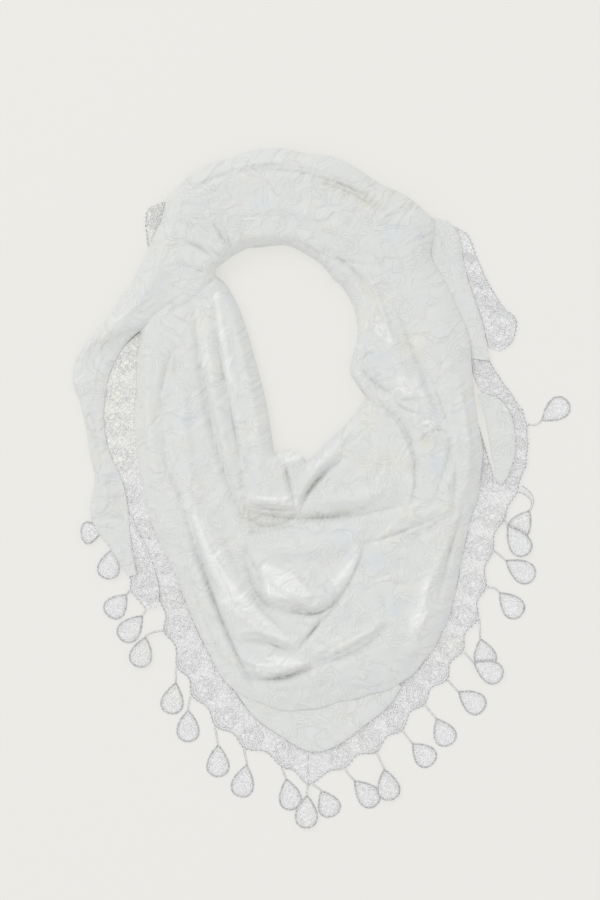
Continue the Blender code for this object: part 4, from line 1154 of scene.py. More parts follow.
# Sizes of the edging in strip coordinates, in millimetres: lengths along it and distances in from its edge.
STRIP_MIDDLE = 12.0
LIFT_PLACE = 0.42
LIFT_LENGTH = 0.16
NET_UNEVENNESS = (0.22, 0.22, 0.11)
NET_CROSSING = 0.28
MEDALLION_HEART = 0.30
MEDALLION_PETALS = 6
PETAL_REACH = 0.68
PETAL_WAVE = 0.16
SMALLEST_MEDALLION = 5.0
MEDALLION_INSET = 3.0
MEDALLION_CENTRE = 3.2
RING_POINTS = 29
HEART_POINTS = 17
PETAL_POINTS = 48
END_CLEARANCE = 4.0
LACE_LEVEL = 1.0
EVEN_STEP = 1.5
RIM_NET = 2.4
HEADING = 1.6
ZIGZAG_STEP = 1.2
ZIGZAG_LOW = 0.7
NET_INSET = 2.0
NET_SLACK = 0.2
FIRST_BEAD = 0.6
RIM_CORD = 0.5
RIM_BEAD = 0.4
RIM_STITCH = 0.8
BEAD_STEP = 2.1
LOWEST_THREAD = 0.6
SWELL = Wave(0.25, 7.0, 8.3, 0.0)

# The levels of what lies on the net, and the wave of thread beyond the medallions. The rim's cord shows for
# three stitches of each five.
CORD_RISE = 0.1
BEAD_RISE = 0.2
MEDALLION_RISE = 0.2
RING_RISE = 0.3
PETAL_RISE = 0.4
WAVE_RISE = 0.3
WAVE_BEYOND = 5.0
WAVE_HEIGHT = 1.4
WAVE_LENGTH = 3.1
WAVE_CLEARANCE = 2.0
SHORTEST_WAVE = 6
STITCHES = 3
STITCH_TURN = 5
SEAM_RISE = 0.9
TULLE_STEP = 1.8
TULLE_COLUMNS = 9
TULLE_LEVEL = 0.85
TULLE_INSETS = (0.8, 0.6)


class LaceStrip:
    """A lace edging along its table, with places by the length along it and the distance in from its edge."""

    SAMPLES = 40

    def __init__(self, table, first_lift=0.0, last_lift=0.0):
        self.table = table
        self.lifts = first_lift, last_lift
        self.rows = np.linspace(0, len(table) - 1, self.SAMPLES * (len(table) - 1) + 1)
        inner, outer, self.widths, self.dips = self.edges(self.rows)
        middle = outer + (inner - outer) * np.minimum(0.5, STRIP_MIDDLE / self.widths)[:, None]
        self.reach = np.concatenate([[0], np.cumsum(np.hypot(*np.diff(middle, axis=0).T))])
        self.length = self.reach[-1]
        self.peaks = self.reach[:: self.SAMPLES]

    def edges(self, rows):
        e = dict(zip(Edging._fields, np.moveaxis(spline_rows(self.table, rows), -1, 0)))
        inner = np.stack([e["inner_x"], e["inner_y"]], axis=-1)
        outer = np.stack([e["outer_x"], e["outer_y"]], axis=-1)
        width = np.hypot(*(outer - inner).T)
        return inner, outer, width, e["scallop"] * np.sin(np.pi * rows) ** 2

    def width(self, along):
        return np.interp(along, self.reach, self.widths)

    def dip(self, along):
        return np.interp(along, self.reach, self.dips)

    def lift(self, along):
        """How far the strip lies above the lowest lace: its first lift, and its last one past its middle."""
        t = smooth((np.asarray(along) / self.length - LIFT_PLACE) / LIFT_LENGTH)
        return self.lifts[0] + (self.lifts[1] - self.lifts[0]) * t

    def place(self, along, inward):
        """Plan points for arrays of lengths along the strip and distances in from its outer edge."""
        inner, outer, width, _ = self.edges(np.interp(along, self.reach, self.rows))
        return outer + (inner - outer) / width[:, None] * np.asarray(inward)[:, None]


def threads_object(name, lines, radius):
    """One mesh of thin round threads along these lines of plan points."""
    curve = bpy.data.curves.new(name, "CURVE")
    curve.dimensions = "3D"
    curve.bevel_depth = radius
    curve.bevel_resolution = 0
    curve.use_fill_caps = True
    for line in lines:
        spline = curve.splines.new("POLY")
        spline.points.add(len(line) - 1)
        world = to_world(line)
        spline.points.foreach_set("co", np.column_stack([world, np.ones(len(world))]).reshape(-1))
    piece = link_new(name, curve)
    make_active(piece)
    bpy.ops.object.convert(target="MESH")
    return bpy.context.view_layer.objects.active


def with_beads(piece, beads, radius):
    """Adds a small round bead at each plan point and welds the threads' ends."""
    bm = bmesh.new()
    bm.from_mesh(piece.data)
    bmesh.ops.remove_doubles(bm, verts=bm.verts, dist=WELD)
    for bead in to_world(beads) if len(beads) else ():
        bmesh.ops.create_icosphere(bm, subdivisions=1, radius=radius, matrix=Matrix.Translation(Vector(bead)))
    bm.to_mesh(piece.data)
    bm.free()
    piece.data.shade_smooth()
    return piece


def runs(points, wanted, shortest=2):
    """The stretches of the line of points in which every point is wanted."""
    found, run = [], []
    for point, keep in zip(points, wanted):
        if keep:
            run.append(point)
            continue
        if len(run) >= shortest:
            found.append(np.array(run))
        run = []
    if len(run) >= shortest:
        found.append(np.array(run))
    return found


def jittered(line, random):
    """The line with each of its points a little off, as in a worked net."""
    return line + random.normal(0, 1, line.shape) * NET_UNEVENNESS


def net_lines(inside, low, high, pitch, random, level):
    """Two crossing families of slanting threads over the box from low to high, kept where inside(points)
    holds. The threads pass over and under each other by turns."""
    lines = []
    diagonal = pitch * math.sqrt(2)
    for lean in (1, -1):
        start = low[0] - (high[1] - low[1]) if lean > 0 else low[0]
        stop = high[0] if lean > 0 else high[0] + (high[1] - low[1])
        for number, offset in enumerate(np.arange(start, stop, diagonal)):
            steps = np.arange(0, high[1] - low[1] + diagonal / 2, diagonal / 2)
            points = np.column_stack([offset + lean * steps, low[1] + steps])
            over = np.where((np.arange(len(steps)) + number) % 2 == 0, lean, -lean) * NET_CROSSING
            heights = level + over
            line = np.column_stack([points, heights])
            lines += [jittered(run, random) for run in runs(line, inside(points))]
    return lines


def ring_line(centre, radius, level, count):
    """A closed line round the centre at this radius, which may be one for each of its points."""
    t = np.linspace(0, 2 * np.pi, count)
    x = centre[0] + radius * np.cos(t)
    y = centre[1] + radius * np.sin(t)
    return np.column_stack([x, y, np.full_like(t, level)])


def medallion_lines(centre, radius, level):
    """A round medallion in strip coordinates: a ring, its heart and the petals of a plain flower."""
    turn = np.linspace(0, 2 * np.pi, PETAL_POINTS)
    wave = radius * (PETAL_REACH + PETAL_WAVE * np.cos(MEDALLION_PETALS * turn))
    ring = ring_line(centre, radius, level + RING_RISE, RING_POINTS)
    heart = ring_line(centre, radius * MEDALLION_HEART, level + PETAL_RISE, HEART_POINTS)
    return [ring, heart, ring_line(centre, wave, level + PETAL_RISE, PETAL_POINTS)]


def strip_lines(strip, pitch, medallion, random, level):
    """An edging in strip coordinates: its net's and motifs' threads, its darker cords and its rim's beads."""

    def line(along, inward, rise=0.0):
        return np.column_stack([along, inward, np.full_like(along, level + rise)])

    threads, centres = [], []
    for peak in strip.peaks:
        radius = min(medallion, float(strip.width(peak)) / 2 - MEDALLION_INSET)
        if radius > SMALLEST_MEDALLION and END_CLEARANCE < peak < strip.length - END_CLEARANCE:
            centres.append((peak, radius + MEDALLION_CENTRE, radius))
            threads += medallion_lines(centres[-1][:2], radius, level + MEDALLION_RISE)

    def in_net(points):
        along, inward = points.T
        inside = (along > -NET_SLACK) & (along < strip.length + NET_SLACK)
        inside &= (inward > strip.dip(along) + NET_INSET) & (inward < strip.width(along) - HEADING)
        for x, y, radius in centres:
            inside &= np.hypot(along - x, inward - y) > radius * MEDALLION_HEART
        return inside

    threads += net_lines(in_net, (0, 0), (strip.length, float(strip.widths.max())), pitch, random, level)
    zigzag = np.arange(0, strip.length, ZIGZAG_STEP)
    side = np.where(np.arange(len(zigzag)) % 2, ZIGZAG_LOW, RIM_NET)
    threads.append(line(zigzag, strip.dip(zigzag) + side, CORD_RISE))
    even = np.arange(0, strip.length, EVEN_STEP)
    threads.append(line(even, strip.dip(even) + RIM_NET))
    threads.append(line(even, strip.width(even) - HEADING))
    wave = strip.dip(even) + 2 * medallion + WAVE_BEYOND + WAVE_HEIGHT * np.sin(even / WAVE_LENGTH)
    threads += runs(line(even, wave, WAVE_RISE), wave < strip.width(even) - WAVE_CLEARANCE, SHORTEST_WAVE)
    fine = np.arange(0, strip.length, RIM_STITCH)
    rim = line(fine, strip.dip(fine) + RIM_CORD, CORD_RISE)
    cords = runs(rim, np.arange(len(fine)) % STITCH_TURN < STITCHES, STITCHES)
    bead_at = np.arange(FIRST_BEAD, strip.length, BEAD_STEP)
    return threads, cords, line(bead_at, strip.dip(bead_at) + RIM_BEAD, BEAD_RISE)


def lay_on(strip, line):
    """A line in strip coordinates as plan points, with the lace's own soft unevenness. Its inner half rises
    to the edge that it is sewn to."""
    plan = strip.place(line[:, 0], line[:, 1])
    swell = SWELL.height * np.sin(plan[:, 0] / SWELL.x_length) * np.sin(plan[:, 1] / SWELL.y_length)
    inner = np.clip(line[:, 1] / strip.width(line[:, 0]) * 2 - 1, 0, 1)
    height = line[:, 2] + swell + strip.lift(line[:, 0]) + SEAM_RISE * inner
    return np.column_stack([plan, np.maximum(height, LOWEST_THREAD)])


# Each edging's table, the cloth beside it, and how far each half lies above the lowest lace.
EDGINGS = {
    "edging_front_left": (FRONT_LEFT_EDGING, "front_drape_cloth", 2.2, 0.0),
    "edging_front_right": (FRONT_RIGHT_EDGING, "front_drape_cloth", 1.0, 0.0),
    "edging_right_inner": (RIGHT_INNER_EDGING, "right_strand_cloth", 3.2, 1.4),
    "edging_right_corner": (RIGHT_CORNER_EDGING, "right_tail_upper_cloth", 0.8, 0.4),
    "edging_right_tail": (RIGHT_TAIL_EDGING, "right_tail_lower_cloth", 1.2, 1.0),
    "edging_left_tail": (LEFT_TAIL_EDGING, "left_tail_cloth", 2.6, 1.8),
    "edging_top_left": (TOP_LEFT_EDGING, "neck_band_cloth", 1.0, 1.0),
}


def tulle_strip(node, strip, thickness):
    """The edging's fine tulle ground, a thin scalloped sheet under its threads that carries painted shade
    between them, and its grid of points.
    """
    along = np.linspace(0, strip.length, max(8, round(strip.length / TULLE_STEP)))
    low = strip.dip(along) + TULLE_INSETS[0]
    high = strip.width(along) - TULLE_INSETS[1]
    height = np.full_like(along, TULLE_LEVEL)
    lines = []
    for share in np.linspace(0, 1, TULLE_COLUMNS):
        inward = low + (high - low) * share
        lines.append(lay_on(strip, np.column_stack([along, inward, height])))
    world = to_world(np.stack(lines, axis=1))
    piece = link_new(f"{node}_tulle", grid_mesh(f"{node}_tulle", world, grid_normals(world), world[..., :2]))
    thicken(piece, thickness)
    piece.data.materials.append(finish("tulle_painted_shade"))
    seat(piece, node)
    return piece, world


def lace_object(node, threads, cords, beads, sizes):
    """One piece of lace: its threads and beads, joined with its darker cords."""
    piece = threads_object(f"{node}_lace", threads, sizes.thread_radius)
    piece = with_beads(piece, beads, sizes.bead_radius)
    piece.data.materials.append(finish("lace_thread"))
    cord = threads_object(f"{node}_cord", cords, sizes.cord_radius)
    cord = with_beads(cord, [], sizes.bead_radius)
    cord.data.materials.append(finish("lace_cord"))
    make_active(piece)
    cord.select_set(True)
    bpy.ops.object.join()
    piece = bpy.context.view_layer.objects.active
    seat(piece, node)
    return piece


def lace_edging(node, strip, sizes, seed):
    random = np.random.default_rng(seed)
    pitch = sizes.net_pitch / MM
    threads, cords, beads = strip_lines(strip, pitch, sizes.medallion_radius / MM, random, LACE_LEVEL)
    threads = [lay_on(strip, line) for line in threads]
    cords = [lay_on(strip, line) for line in cords]
    return lace_object(node, threads, cords, lay_on(strip, beads), sizes)


# Sizes of a drop in its own coordinates, in millimetres: lengths from its tip and distances from its middle.
DROP_WIDTH = 23.0
DROP_THICKNESS = 1.8
WIDEST_SHARE = 2 / 3
SEAM_GAP = 0.3
FLOOR_GAP = 0.3
ROOT_OVERLAP = 2.0
DROP_LEVEL = 0.75
DROP_TULLE_LEVEL = 0.35
RIM_SCALES = (0.98, 0.92)
BEADED_SCALE = 0.80
DROP_TULLE_SCALE = 0.95
DROP_NET_SHARE = 0.85
DROP_NET_INSET = 1.9
DROP_NET_START = 4.0
DROP_BEAD_STEP = 1.9
STEM_POINTS = 14
STEM_CORD_RADIUS = 0.5
STEM_CORD_GAP = 0.45
LACED_STEM = 5.0
DROP_SEED = 100


def drop_half_width(share):
    """Half the width of a drop, in millimetres, from its tip at 0 to its round end at 1."""
    share = np.clip(share, 0, 1)
    outline = share * np.sqrt(1 - share) / (WIDEST_SHARE * math.sqrt(1 - WIDEST_SHARE))
    return outline * DROP_WIDTH / 2


def drop_root(drop):
    """Where the stem starts: just off the lace's edge, or over it where the drop lies over its neighbour."""
    row = spline_rows(drop.edging, np.array(drop.row, float))
    inner, outer = row[:2], row[2:4]
    outward = (outer - inner) / np.linalg.norm(outer - inner)
    outer = outer - outward * row[4] * math.sin(math.pi * drop.row) ** 2
    if drop.over:
        return outer - outward * ROOT_OVERLAP
    return outer + outward * SEAM_GAP


def teardrop_line(length, scale, level, count):
    """The outline of a drop in its own coordinates, scaled about its widest part."""
    t = np.linspace(0, 2 * np.pi, count + 1)
    share = (1 - np.cos(t)) / 2
    side = np.where(t < np.pi, 1, -1)
    along = (WIDEST_SHARE + (share - WIDEST_SHARE) * scale) * length
    return np.column_stack([along, side * drop_half_width(share) * scale, np.full_like(t, level)])


def drop_place(drop):
    """(length, to_plan): the drop's length, and what puts a line of its own coordinates on the plan."""
    tip = np.array([drop.tip_x, drop.tip_y], float)
    end = np.array([drop.end_x, drop.end_y], float)
    length = float(np.hypot(*(end - tip)))
    ahead = (end - tip) / length
    beside = np.array([-ahead[1], ahead[0]])

    def to_plan(line):
        return np.column_stack([tip + np.outer(line[:, 0], ahead) + np.outer(line[:, 1], beside), line[:, 2]])

    return length, to_plan


def drop_height(drop, level):
    """The height of a level of the drop above the floor, which is more where it lies over its neighbour."""
    return FLOOR_GAP + level + drop.over * (DROP_THICKNESS + FLOOR_GAP)


def drop_beads(length, level):
    """The places of the beads along the drop's beaded ring, evenly spaced, in its own coordinates."""
    ring = teardrop_line(length, BEADED_SCALE, level, 60)
    gone = np.concatenate([[0], np.cumsum(np.hypot(*np.diff(ring[:, :2], axis=0).T))])
    at = np.arange(0, gone[-1], DROP_BEAD_STEP)
    return np.column_stack([np.interp(at, gone, ring[:, k]) for k in range(3)])


def stem_lines(drop, level):
    """(threads, cords) of the drop's stem: two cords with a thread between them, and rungs if it is broad."""
    tip = np.array([drop.tip_x, drop.tip_y], float)
    bend = np.array([drop.bend_x, drop.bend_y], float)
    t = np.linspace(0, 1, STEM_POINTS)[:, None]
    route = (1 - t) ** 2 * drop_root(drop) + 2 * t * (1 - t) * bend + t**2 * tip
    step = np.gradient(route, axis=0)
    normal = np.column_stack([-step[:, 1], step[:, 0]]) / np.maximum(np.hypot(*step.T), 1e-9)[:, None]
    spread = drop.stem / 2 - STEM_CORD_RADIUS
    threads, cords = [], []
    for side in (-1, 1):
        away = side * np.maximum(spread * (1 - t), STEM_CORD_GAP)
        cords.append(np.column_stack([route + normal * away, np.full(len(t), level)]))
    if drop.stem > LACED_STEM:
        for k in range(1, len(t) - 1):
            cross = route[k] + np.outer((-1, 0, 1), normal[k] * spread * (1 - t[k, 0]))
            threads.append(np.column_stack([cross, (level, level + 0.3, level)]))
    threads.append(np.column_stack([route, np.full(len(t), level + 0.2)]))
    return threads, cords


def drop_threads(drop, sizes, random):
    """(threads, cords, beads) of a lace drop and its stem, as plan points."""
    level = drop_height(drop, DROP_LEVEL)
    length, to_plan = drop_place(drop)

    def in_net(points):
        along, side = points.T
        return (np.abs(side) < drop_half_width(along / length) - DROP_NET_INSET) & (along > DROP_NET_START)

    pitch = sizes.net_pitch / MM * DROP_NET_SHARE
    net = net_lines(in_net, (0, -DROP_WIDTH / 2), (length, DROP_WIDTH / 2), pitch, random, level)
    rim = teardrop_line(length, RIM_SCALES[0], level, 60)
    inner_rim = teardrop_line(length, RIM_SCALES[1], level + 0.2, 44)
    stem_threads, stem_cords = stem_lines(drop, level)
    threads = [to_plan(line) for line in net] + stem_threads
    cords = [to_plan(rim), to_plan(inner_rim)] + stem_cords
    return threads, cords, to_plan(drop_beads(length, level + 0.2))


def drop_tulle(node, drop, thickness):
    """The drop's tulle ground: a thin closed teardrop under its threads, which carries painted shade between
    them.
    """
    length, to_plan = drop_place(drop)
    outline = teardrop_line(length, DROP_TULLE_SCALE, drop_height(drop, DROP_TULLE_LEVEL), 40)[:-1]
    places = to_world(to_plan(outline))
    bm = bmesh.new()
    low = [bm.verts.new(point) for point in places]
    high = [bm.verts.new(point + np.array([0, 0, thickness])) for point in places]
    bm.faces.new(low[::-1])
    bm.faces.new(high)
    for k in range(len(low)):
        after = (k + 1) % len(low)
        bm.faces.new((low[k], low[after], high[after], high[k]))
    piece = link_new(f"{node}_tulle", closed_mesh(f"{node}_tulle", bm, 1e-7))
    piece.data.materials.append(finish("tulle_painted_shade"))
    seat(piece, node)
    return piece


def lace_drop(number, drop, sizes):
    node = f"drop_{number:02d}"
    threads, cords, beads = drop_threads(drop, sizes, np.random.default_rng(DROP_SEED + number))
    piece = lace_object(node, threads, cords, beads, sizes)
    return [piece, drop_tulle(node, drop, sizes.tulle_thickness)]


def build_lace(sizes):
    """The edgings and their drops, each edging's tulle measured as a sheet."""
    drops = {}
    for number, drop in enumerate(DROPS, start=1):
        drops.setdefault(id(drop.edging), []).extend(lace_drop(number, drop, sizes))
    for seed, (node, (table, beside, *lifts)) in enumerate(EDGINGS.items()):
        strip = LaceStrip(table, *lifts)
        threads = lace_edging(node, strip, sizes, seed)
        tulle, world = tulle_strip(node, strip, sizes.tulle_thickness)
        declare_sheet(tulle, world, with_pieces=[threads, *drops.get(id(table), [])])


# ---------------------------------------------------------------- finishes

# The cloth's pattern: (scale, amount) of what bends its outlines, its flowers' petals and its leaves. A
# pair of limits holds where a ramp begins and ends.
ROSE_BEND = (1.7, 0.55)
ROSE_CURL = (6.0, 0.13)
PETAL_TURNS = 44
PETAL_SWIRLS = 3
PETAL_SWIRL = 1.1
PETAL_LINE = 0.5
BLOOM_LIMITS = (0.24, 0.34)
LEAF_SCALE = (2.1, 4.2, 1.0)
LEAF_OUTLINE = 0.1
LEAF_LINE = 0.05
LEAF_LIMITS = (0.06, 0.16)
LEAF_PATCH_LIMITS = (0.42, 0.58)
WEAVE_PITCH = 0.0009

# The cloth's tones, and how much of each pattern colours it or raises it.
# the crinkles' painted light: how far apart its two noises lie, and how strong it is
CRINKLE_SHIFT = 0.0011
CRINKLE_TONE = 2.3
WARM_DRIFT = 2.6
WARM_LIMITS = (0.0, 1.2)
# where the painted highlight and the painted shade reach their full colour
BRIGHT_LIMITS = (0.0, 1.3)
DARK_LIMITS = (0.0, 1.5)
BODY_COLOUR = 0.26
LINE_COLOUR = 0.15
BODY_RELIEF = 0.5
WEAVE_RELIEF = 0.3
CRINKLE_RELIEF = 2.2

# The lace's tulle: where its mesh is thread, and where it is creamy, or brighter with painted light, over the
# scarf, in metres.
MESH_LIMITS = (0.38, 0.53)
CREAMY_LIMITS = (0.52, 0.75)
RIGHT_LIMITS = (0.08, 0.17)
LEFT_LIMITS = (0.14, 0.18)
UPPER_LIMITS = (-0.02, 0.08)
TWIST_LIMITS = (0.38, 0.62)
THREAD_LIMITS = (0.35, 0.65)
# where a thread's painted shade on its downward sides fades out
FACING_LIMITS = (-0.5, 0.3)


def paint(colour, factor=1.0):
    """A colour of the panel as a shader takes it, made darker or brighter by the factor."""
    return (*[channel * factor for channel in colour], 1)


class Surface:
    """A new material and the ways to work out what its shader needs, each with a node of its own."""

    def __init__(self, name):
        self.material = bpy.data.materials.new(name)
        self.material.use_nodes = True
        self.tree = self.material.node_tree
        self.shader = self.tree.nodes["Principled BSDF"]
        self.colours = bpy.context.scene.scarf_colours

    def feed(self, socket, value):
        """Link the value to the socket, or set it there where it is the same all over."""
        if isinstance(value, bpy.types.NodeSocket):
            self.tree.links.new(value, socket)
        else:
            socket.default_value = value

    def node(self, kind, **settings):
        """A new node, with each setting given to it or to its socket of that name."""
        node = self.tree.nodes.new(f"ShaderNode{kind}")
        for name, value in settings.items():
            if hasattr(node, name):
                setattr(node, name, value)
            else:
                self.feed(node.inputs[name.replace("_", " ")], value)
        return node

    def work(self, kind, operation, *values):
        node = self.node(kind, operation=operation)
        for socket, value in zip(node.inputs, values):
            self.feed(socket, value)
        return node.outputs[0]

    def plus(self, first, second):
        return self.work("Math", "ADD", first, second)

    def minus(self, first, second):
        return self.work("Math", "SUBTRACT", first, second)

    def times(self, first, second):
        return self.work("Math", "MULTIPLY", first, second)

    def larger(self, first, second):
        return self.work("Math", "MAXIMUM", first, second)

    def ramp(self, value, limits):
        """0 up to the first limit and 1 from the second one on."""
        node = self.node("MapRange", interpolation_type="SMOOTHSTEP", Value=value)
        node.inputs["From Min"].default_value = limits[0]
        node.inputs["From Max"].default_value = limits[1]
        return node.outputs["Result"]

    def blend(self, share, low, high):
        return self.node("Mix", data_type="RGBA", Factor=share, A=low, B=high).outputs["Result"]

    def thin_line(self, value, width):
        """1 where the value is near 0 and 0 from the width on."""
        return self.minus(1, self.ramp(self.work("Math", "ABSOLUTE", value), (0.0, width)))

    def noise(self, place, output="Fac", **settings):
        return self.node("TexNoise", **settings, Vector=place).outputs[output]

    def flat_noise(self, place, **settings):
        return self.noise(place, noise_dimensions="2D", **settings)

    def object_place(self):
        return self.node("TexCoord").outputs["Object"]

    def axis(self, place, name):
        return self.node("SeparateXYZ", Vector=place).outputs[name]

    def stored(self, name):
        """The value of this name at each point of the cloth."""
        return self.node("Attribute", attribute_type="GEOMETRY", attribute_name=name).outputs["Fac"]

    def cover(self, colour, roughness, gloss):
        self.feed(self.shader.inputs["Base Color"], colour)
        self.shader.inputs["Roughness"].default_value = roughness
        self.shader.inputs["Specular IOR Level"].default_value = gloss

    def raise_up(self, height, strength, distance):
        bump = self.node("Bump", Strength=strength, Distance=distance, Height=height)
        self.feed(self.shader.inputs["Normal"], bump.outputs["Normal"])


def warped_place(surface, place, scale, amount):
    """The place pushed about by a slow noise, so that no outline drawn on it is regular."""
    push = surface.noise(place, "Color", noise_dimensions="2D", Scale=scale, Detail=1.0)
    return surface.work("VectorMath", "MULTIPLY_ADD", push, (amount, amount, 0.0), place)


def rose_pattern(surface, place, pitch):
    """(lines, bodies) of roses and leaves scattered over the cloth: the thin raised outlines of their petals,
    and the fuller cloth inside them."""
    scaled = surface.work("VectorMath", "MULTIPLY", place, (1 / pitch, 1 / pitch, 1.0))
    bent = warped_place(surface, scaled, *ROSE_BEND)
    curled = warped_place(surface, bent, *ROSE_CURL)
    cell = surface.node("TexVoronoi", voronoi_dimensions="2D", Scale=1.0, Randomness=0.9, Vector=curled)
    local = surface.work("VectorMath", "SUBTRACT", curled, cell.outputs["Position"])
    angle = surface.work("Math", "ARCTAN2", surface.axis(local, "Y"), surface.axis(local, "X"))
    radius = cell.outputs["Distance"]
    swirl = surface.times(surface.work("Math", "SINE", surface.times(angle, PETAL_SWIRLS)), PETAL_SWIRL)
    turns = surface.plus(surface.plus(surface.times(radius, PETAL_TURNS), swirl), angle)
    petals = surface.thin_line(surface.work("Math", "SINE", turns), PETAL_LINE)
    bloom = surface.minus(1, surface.ramp(radius, BLOOM_LIMITS))
    stretched = surface.work("VectorMath", "MULTIPLY", curled, LEAF_SCALE)
    leaf = surface.node("TexVoronoi", voronoi_dimensions="2D", feature="DISTANCE_TO_EDGE", Scale=1.0)
    surface.feed(leaf.inputs["Vector"], stretched)
    depth = leaf.outputs["Distance"]
    outline = surface.thin_line(surface.minus(depth, LEAF_OUTLINE), LEAF_LINE)
    grown = surface.ramp(surface.flat_noise(bent, Scale=2.6, Detail=0.0), LEAF_PATCH_LIMITS)
    away = surface.times(grown, surface.minus(1, bloom))
    lines = surface.larger(surface.times(petals, bloom), surface.times(outline, away))
    bodies = surface.larger(bloom, surface.times(surface.ramp(depth, LEAF_LIMITS), away))
    return lines, bodies


def thread_weave(surface, place):
    """The fine crossing threads of the cloth, from 0 to 1."""
    waves = []
    for direction in ("X", "Y"):
        wave = surface.node("TexWave", wave_type="BANDS", bands_direction=direction, Distortion=0.6)
        wave.inputs["Scale"].default_value = 1 / (6 * WEAVE_PITCH)
        surface.feed(wave.inputs["Vector"], place)
        waves.append(wave.outputs["Fac"])
    return surface.times(*waves)


def crinkle_light(surface, place):
    """Painted light: how much brighter or darker the cloth is painted for its finest crinkles, as if lit on
    their upper left.
    """
    heights = []
    for shift in (0.0, CRINKLE_SHIFT):
        moved = surface.work("VectorMath", "ADD", place, (shift, -shift, 0))
        heights.append(surface.flat_noise(moved, Scale=44.0, Detail=4.0, Distortion=1.4))
    return surface.times(surface.minus(*heights), CRINKLE_TONE)


def cloth_finish(surface):
    """Off-white burnout cloth: fuller roses and leaves with raised outlines on a sheer ground, warmer or
    cooler where its layers say so, and with painted highlight and painted shade at its folds, crinkles and
    patches."""
    colours = surface.colours
    place = surface.node("UVMap", uv_map="weave").outputs["UV"]
    lines, bodies = rose_pattern(surface, place, bpy.context.scene.scarf_sizes.rose_pitch)
    drift = surface.times(surface.minus(surface.flat_noise(place, Scale=42.0, Detail=3.0), 0.5), WARM_DRIFT)
    warm = surface.plus(surface.stored("warm"), drift)
    colour = surface.blend(surface.ramp(warm, WARM_LIMITS), paint(colours.sheer), paint(colours.warm))
    colour = surface.blend(surface.ramp(surface.times(warm, -1), WARM_LIMITS), colour, paint(colours.cool))
    colour = surface.blend(surface.times(bodies, BODY_COLOUR), colour, paint(colours.cloth))
    colour = surface.blend(surface.times(lines, LINE_COLOUR), colour, paint(colours.shadow))
    # painted highlight and painted shade: the stored tone and the crinkles' painted light blend the colour
    # towards bright or towards shadow
    tone = surface.plus(surface.stored("tone"), crinkle_light(surface, place))
    colour = surface.blend(surface.ramp(tone, BRIGHT_LIMITS), colour, paint(colours.bright))
    colour = surface.blend(surface.ramp(surface.times(tone, -1), DARK_LIMITS), colour, paint(colours.shadow))
    surface.cover(colour, roughness=0.75, gloss=0.2)
    surface.shader.inputs["Sheen Weight"].default_value = 0.1
    crinkle = surface.flat_noise(place, Scale=210.0, Detail=3.0)
    height = surface.plus(lines, surface.times(bodies, BODY_RELIEF))
    height = surface.plus(height, surface.times(thread_weave(surface, place), WEAVE_RELIEF))
    height = surface.plus(height, surface.times(crinkle, CRINKLE_RELIEF))
    surface.raise_up(height, strength=0.5, distance=0.0005)


def layers_finish(surface):
    """The same cloth on the edges of the hidden folds, a little darker and with its weave alone."""
    place = surface.object_place()
    sheer = surface.colours.sheer
    colour = surface.blend(surface.noise(place, Scale=60.0, Detail=3.0), paint(sheer, 0.94), paint(sheer))
    surface.cover(colour, roughness=0.8, gloss=0.2)
    surface.raise_up(thread_weave(surface, place), strength=0.3, distance=0.0003)


def tulle_painted_shade_finish(surface):
    """Fine tulle seen between the lace's threads: greyer than they are, with a fine uneven mesh; its grey is
    painted shade between the threads.
    It is creamy in patches and on the upper left, and brighter with painted light on the right."""
    colours = surface.colours
    place = surface.object_place()
    across = surface.axis(place, "X")
    right = surface.ramp(across, RIGHT_LIMITS)
    left = surface.ramp(surface.times(across, -1), LEFT_LIMITS)
    upper_left = surface.times(left, surface.ramp(surface.axis(place, "Y"), UPPER_LIMITS))
    creamy = surface.ramp(surface.noise(place, Scale=16.0, Detail=1.0), CREAMY_LIMITS)
    creamy = surface.larger(creamy, upper_left)
    thread = surface.blend(creamy, paint(colours.lace, 0.97), paint(colours.creamy_lace))
    # painted shade: the grey of the net between the threads, lighter with painted light on the right
    net = surface.blend(right, paint(colours.ground), paint(colours.bright_ground))
    net = surface.blend(upper_left, net, paint(colours.warm))
    mesh = surface.ramp(surface.noise(place, Scale=560.0, Detail=1.5, Distortion=1.2), MESH_LIMITS)
    surface.cover(surface.blend(mesh, net, thread), roughness=0.8, gloss=0.2)


def cord_finish(surface):
    """The lace's outlining cords, a little greyer than its threads, with a fine twist."""
    cord = surface.colours.cord
    twist = surface.ramp(surface.noise(surface.object_place(), Scale=520.0, Detail=2.0), TWIST_LIMITS)
    surface.cover(surface.blend(twist, paint(cord, 0.85), paint(cord, 1.2)), roughness=0.6, gloss=0.3)


def lace_finish(surface):
    """Cool off-white lace thread with a slight lustre, and painted shade on its sides that face down between
    the threads.
    """
    colours = surface.colours
    twist = surface.noise(surface.object_place(), Scale=700.0, Detail=2.0)
    lively = surface.blend(surface.ramp(twist, THREAD_LIMITS), paint(colours.lace, 0.88), paint(colours.lace))
    # painted shade: where the thread faces down it takes the grey of the lace ground
    normal = surface.node("NewGeometry").outputs["Normal"]
    facing = surface.ramp(surface.axis(normal, "Z"), FACING_LIMITS)
    surface.cover(surface.blend(facing, paint(colours.ground), lively), roughness=0.5, gloss=0.4)
    surface.raise_up(twist, strength=0.4, distance=0.0002)


def floor_finish(surface):
    floor = surface.colours.floor
    surface.cover(paint(floor, FLOOR_DIFFUSE), roughness=1.0, gloss=0.0)
    surface.shader.inputs["Emission Color"].default_value = paint(floor)
    surface.shader.inputs["Emission Strength"].default_value = FLOOR_GLOW


FINISHES = {
    "burnout_cloth": cloth_finish,
    "folded_layers": layers_finish,
    "tulle_painted_shade": tulle_painted_shade_finish,
    "lace_cord": cord_finish,
    "lace_thread": lace_finish,
    "pale_floor": floor_finish,
}


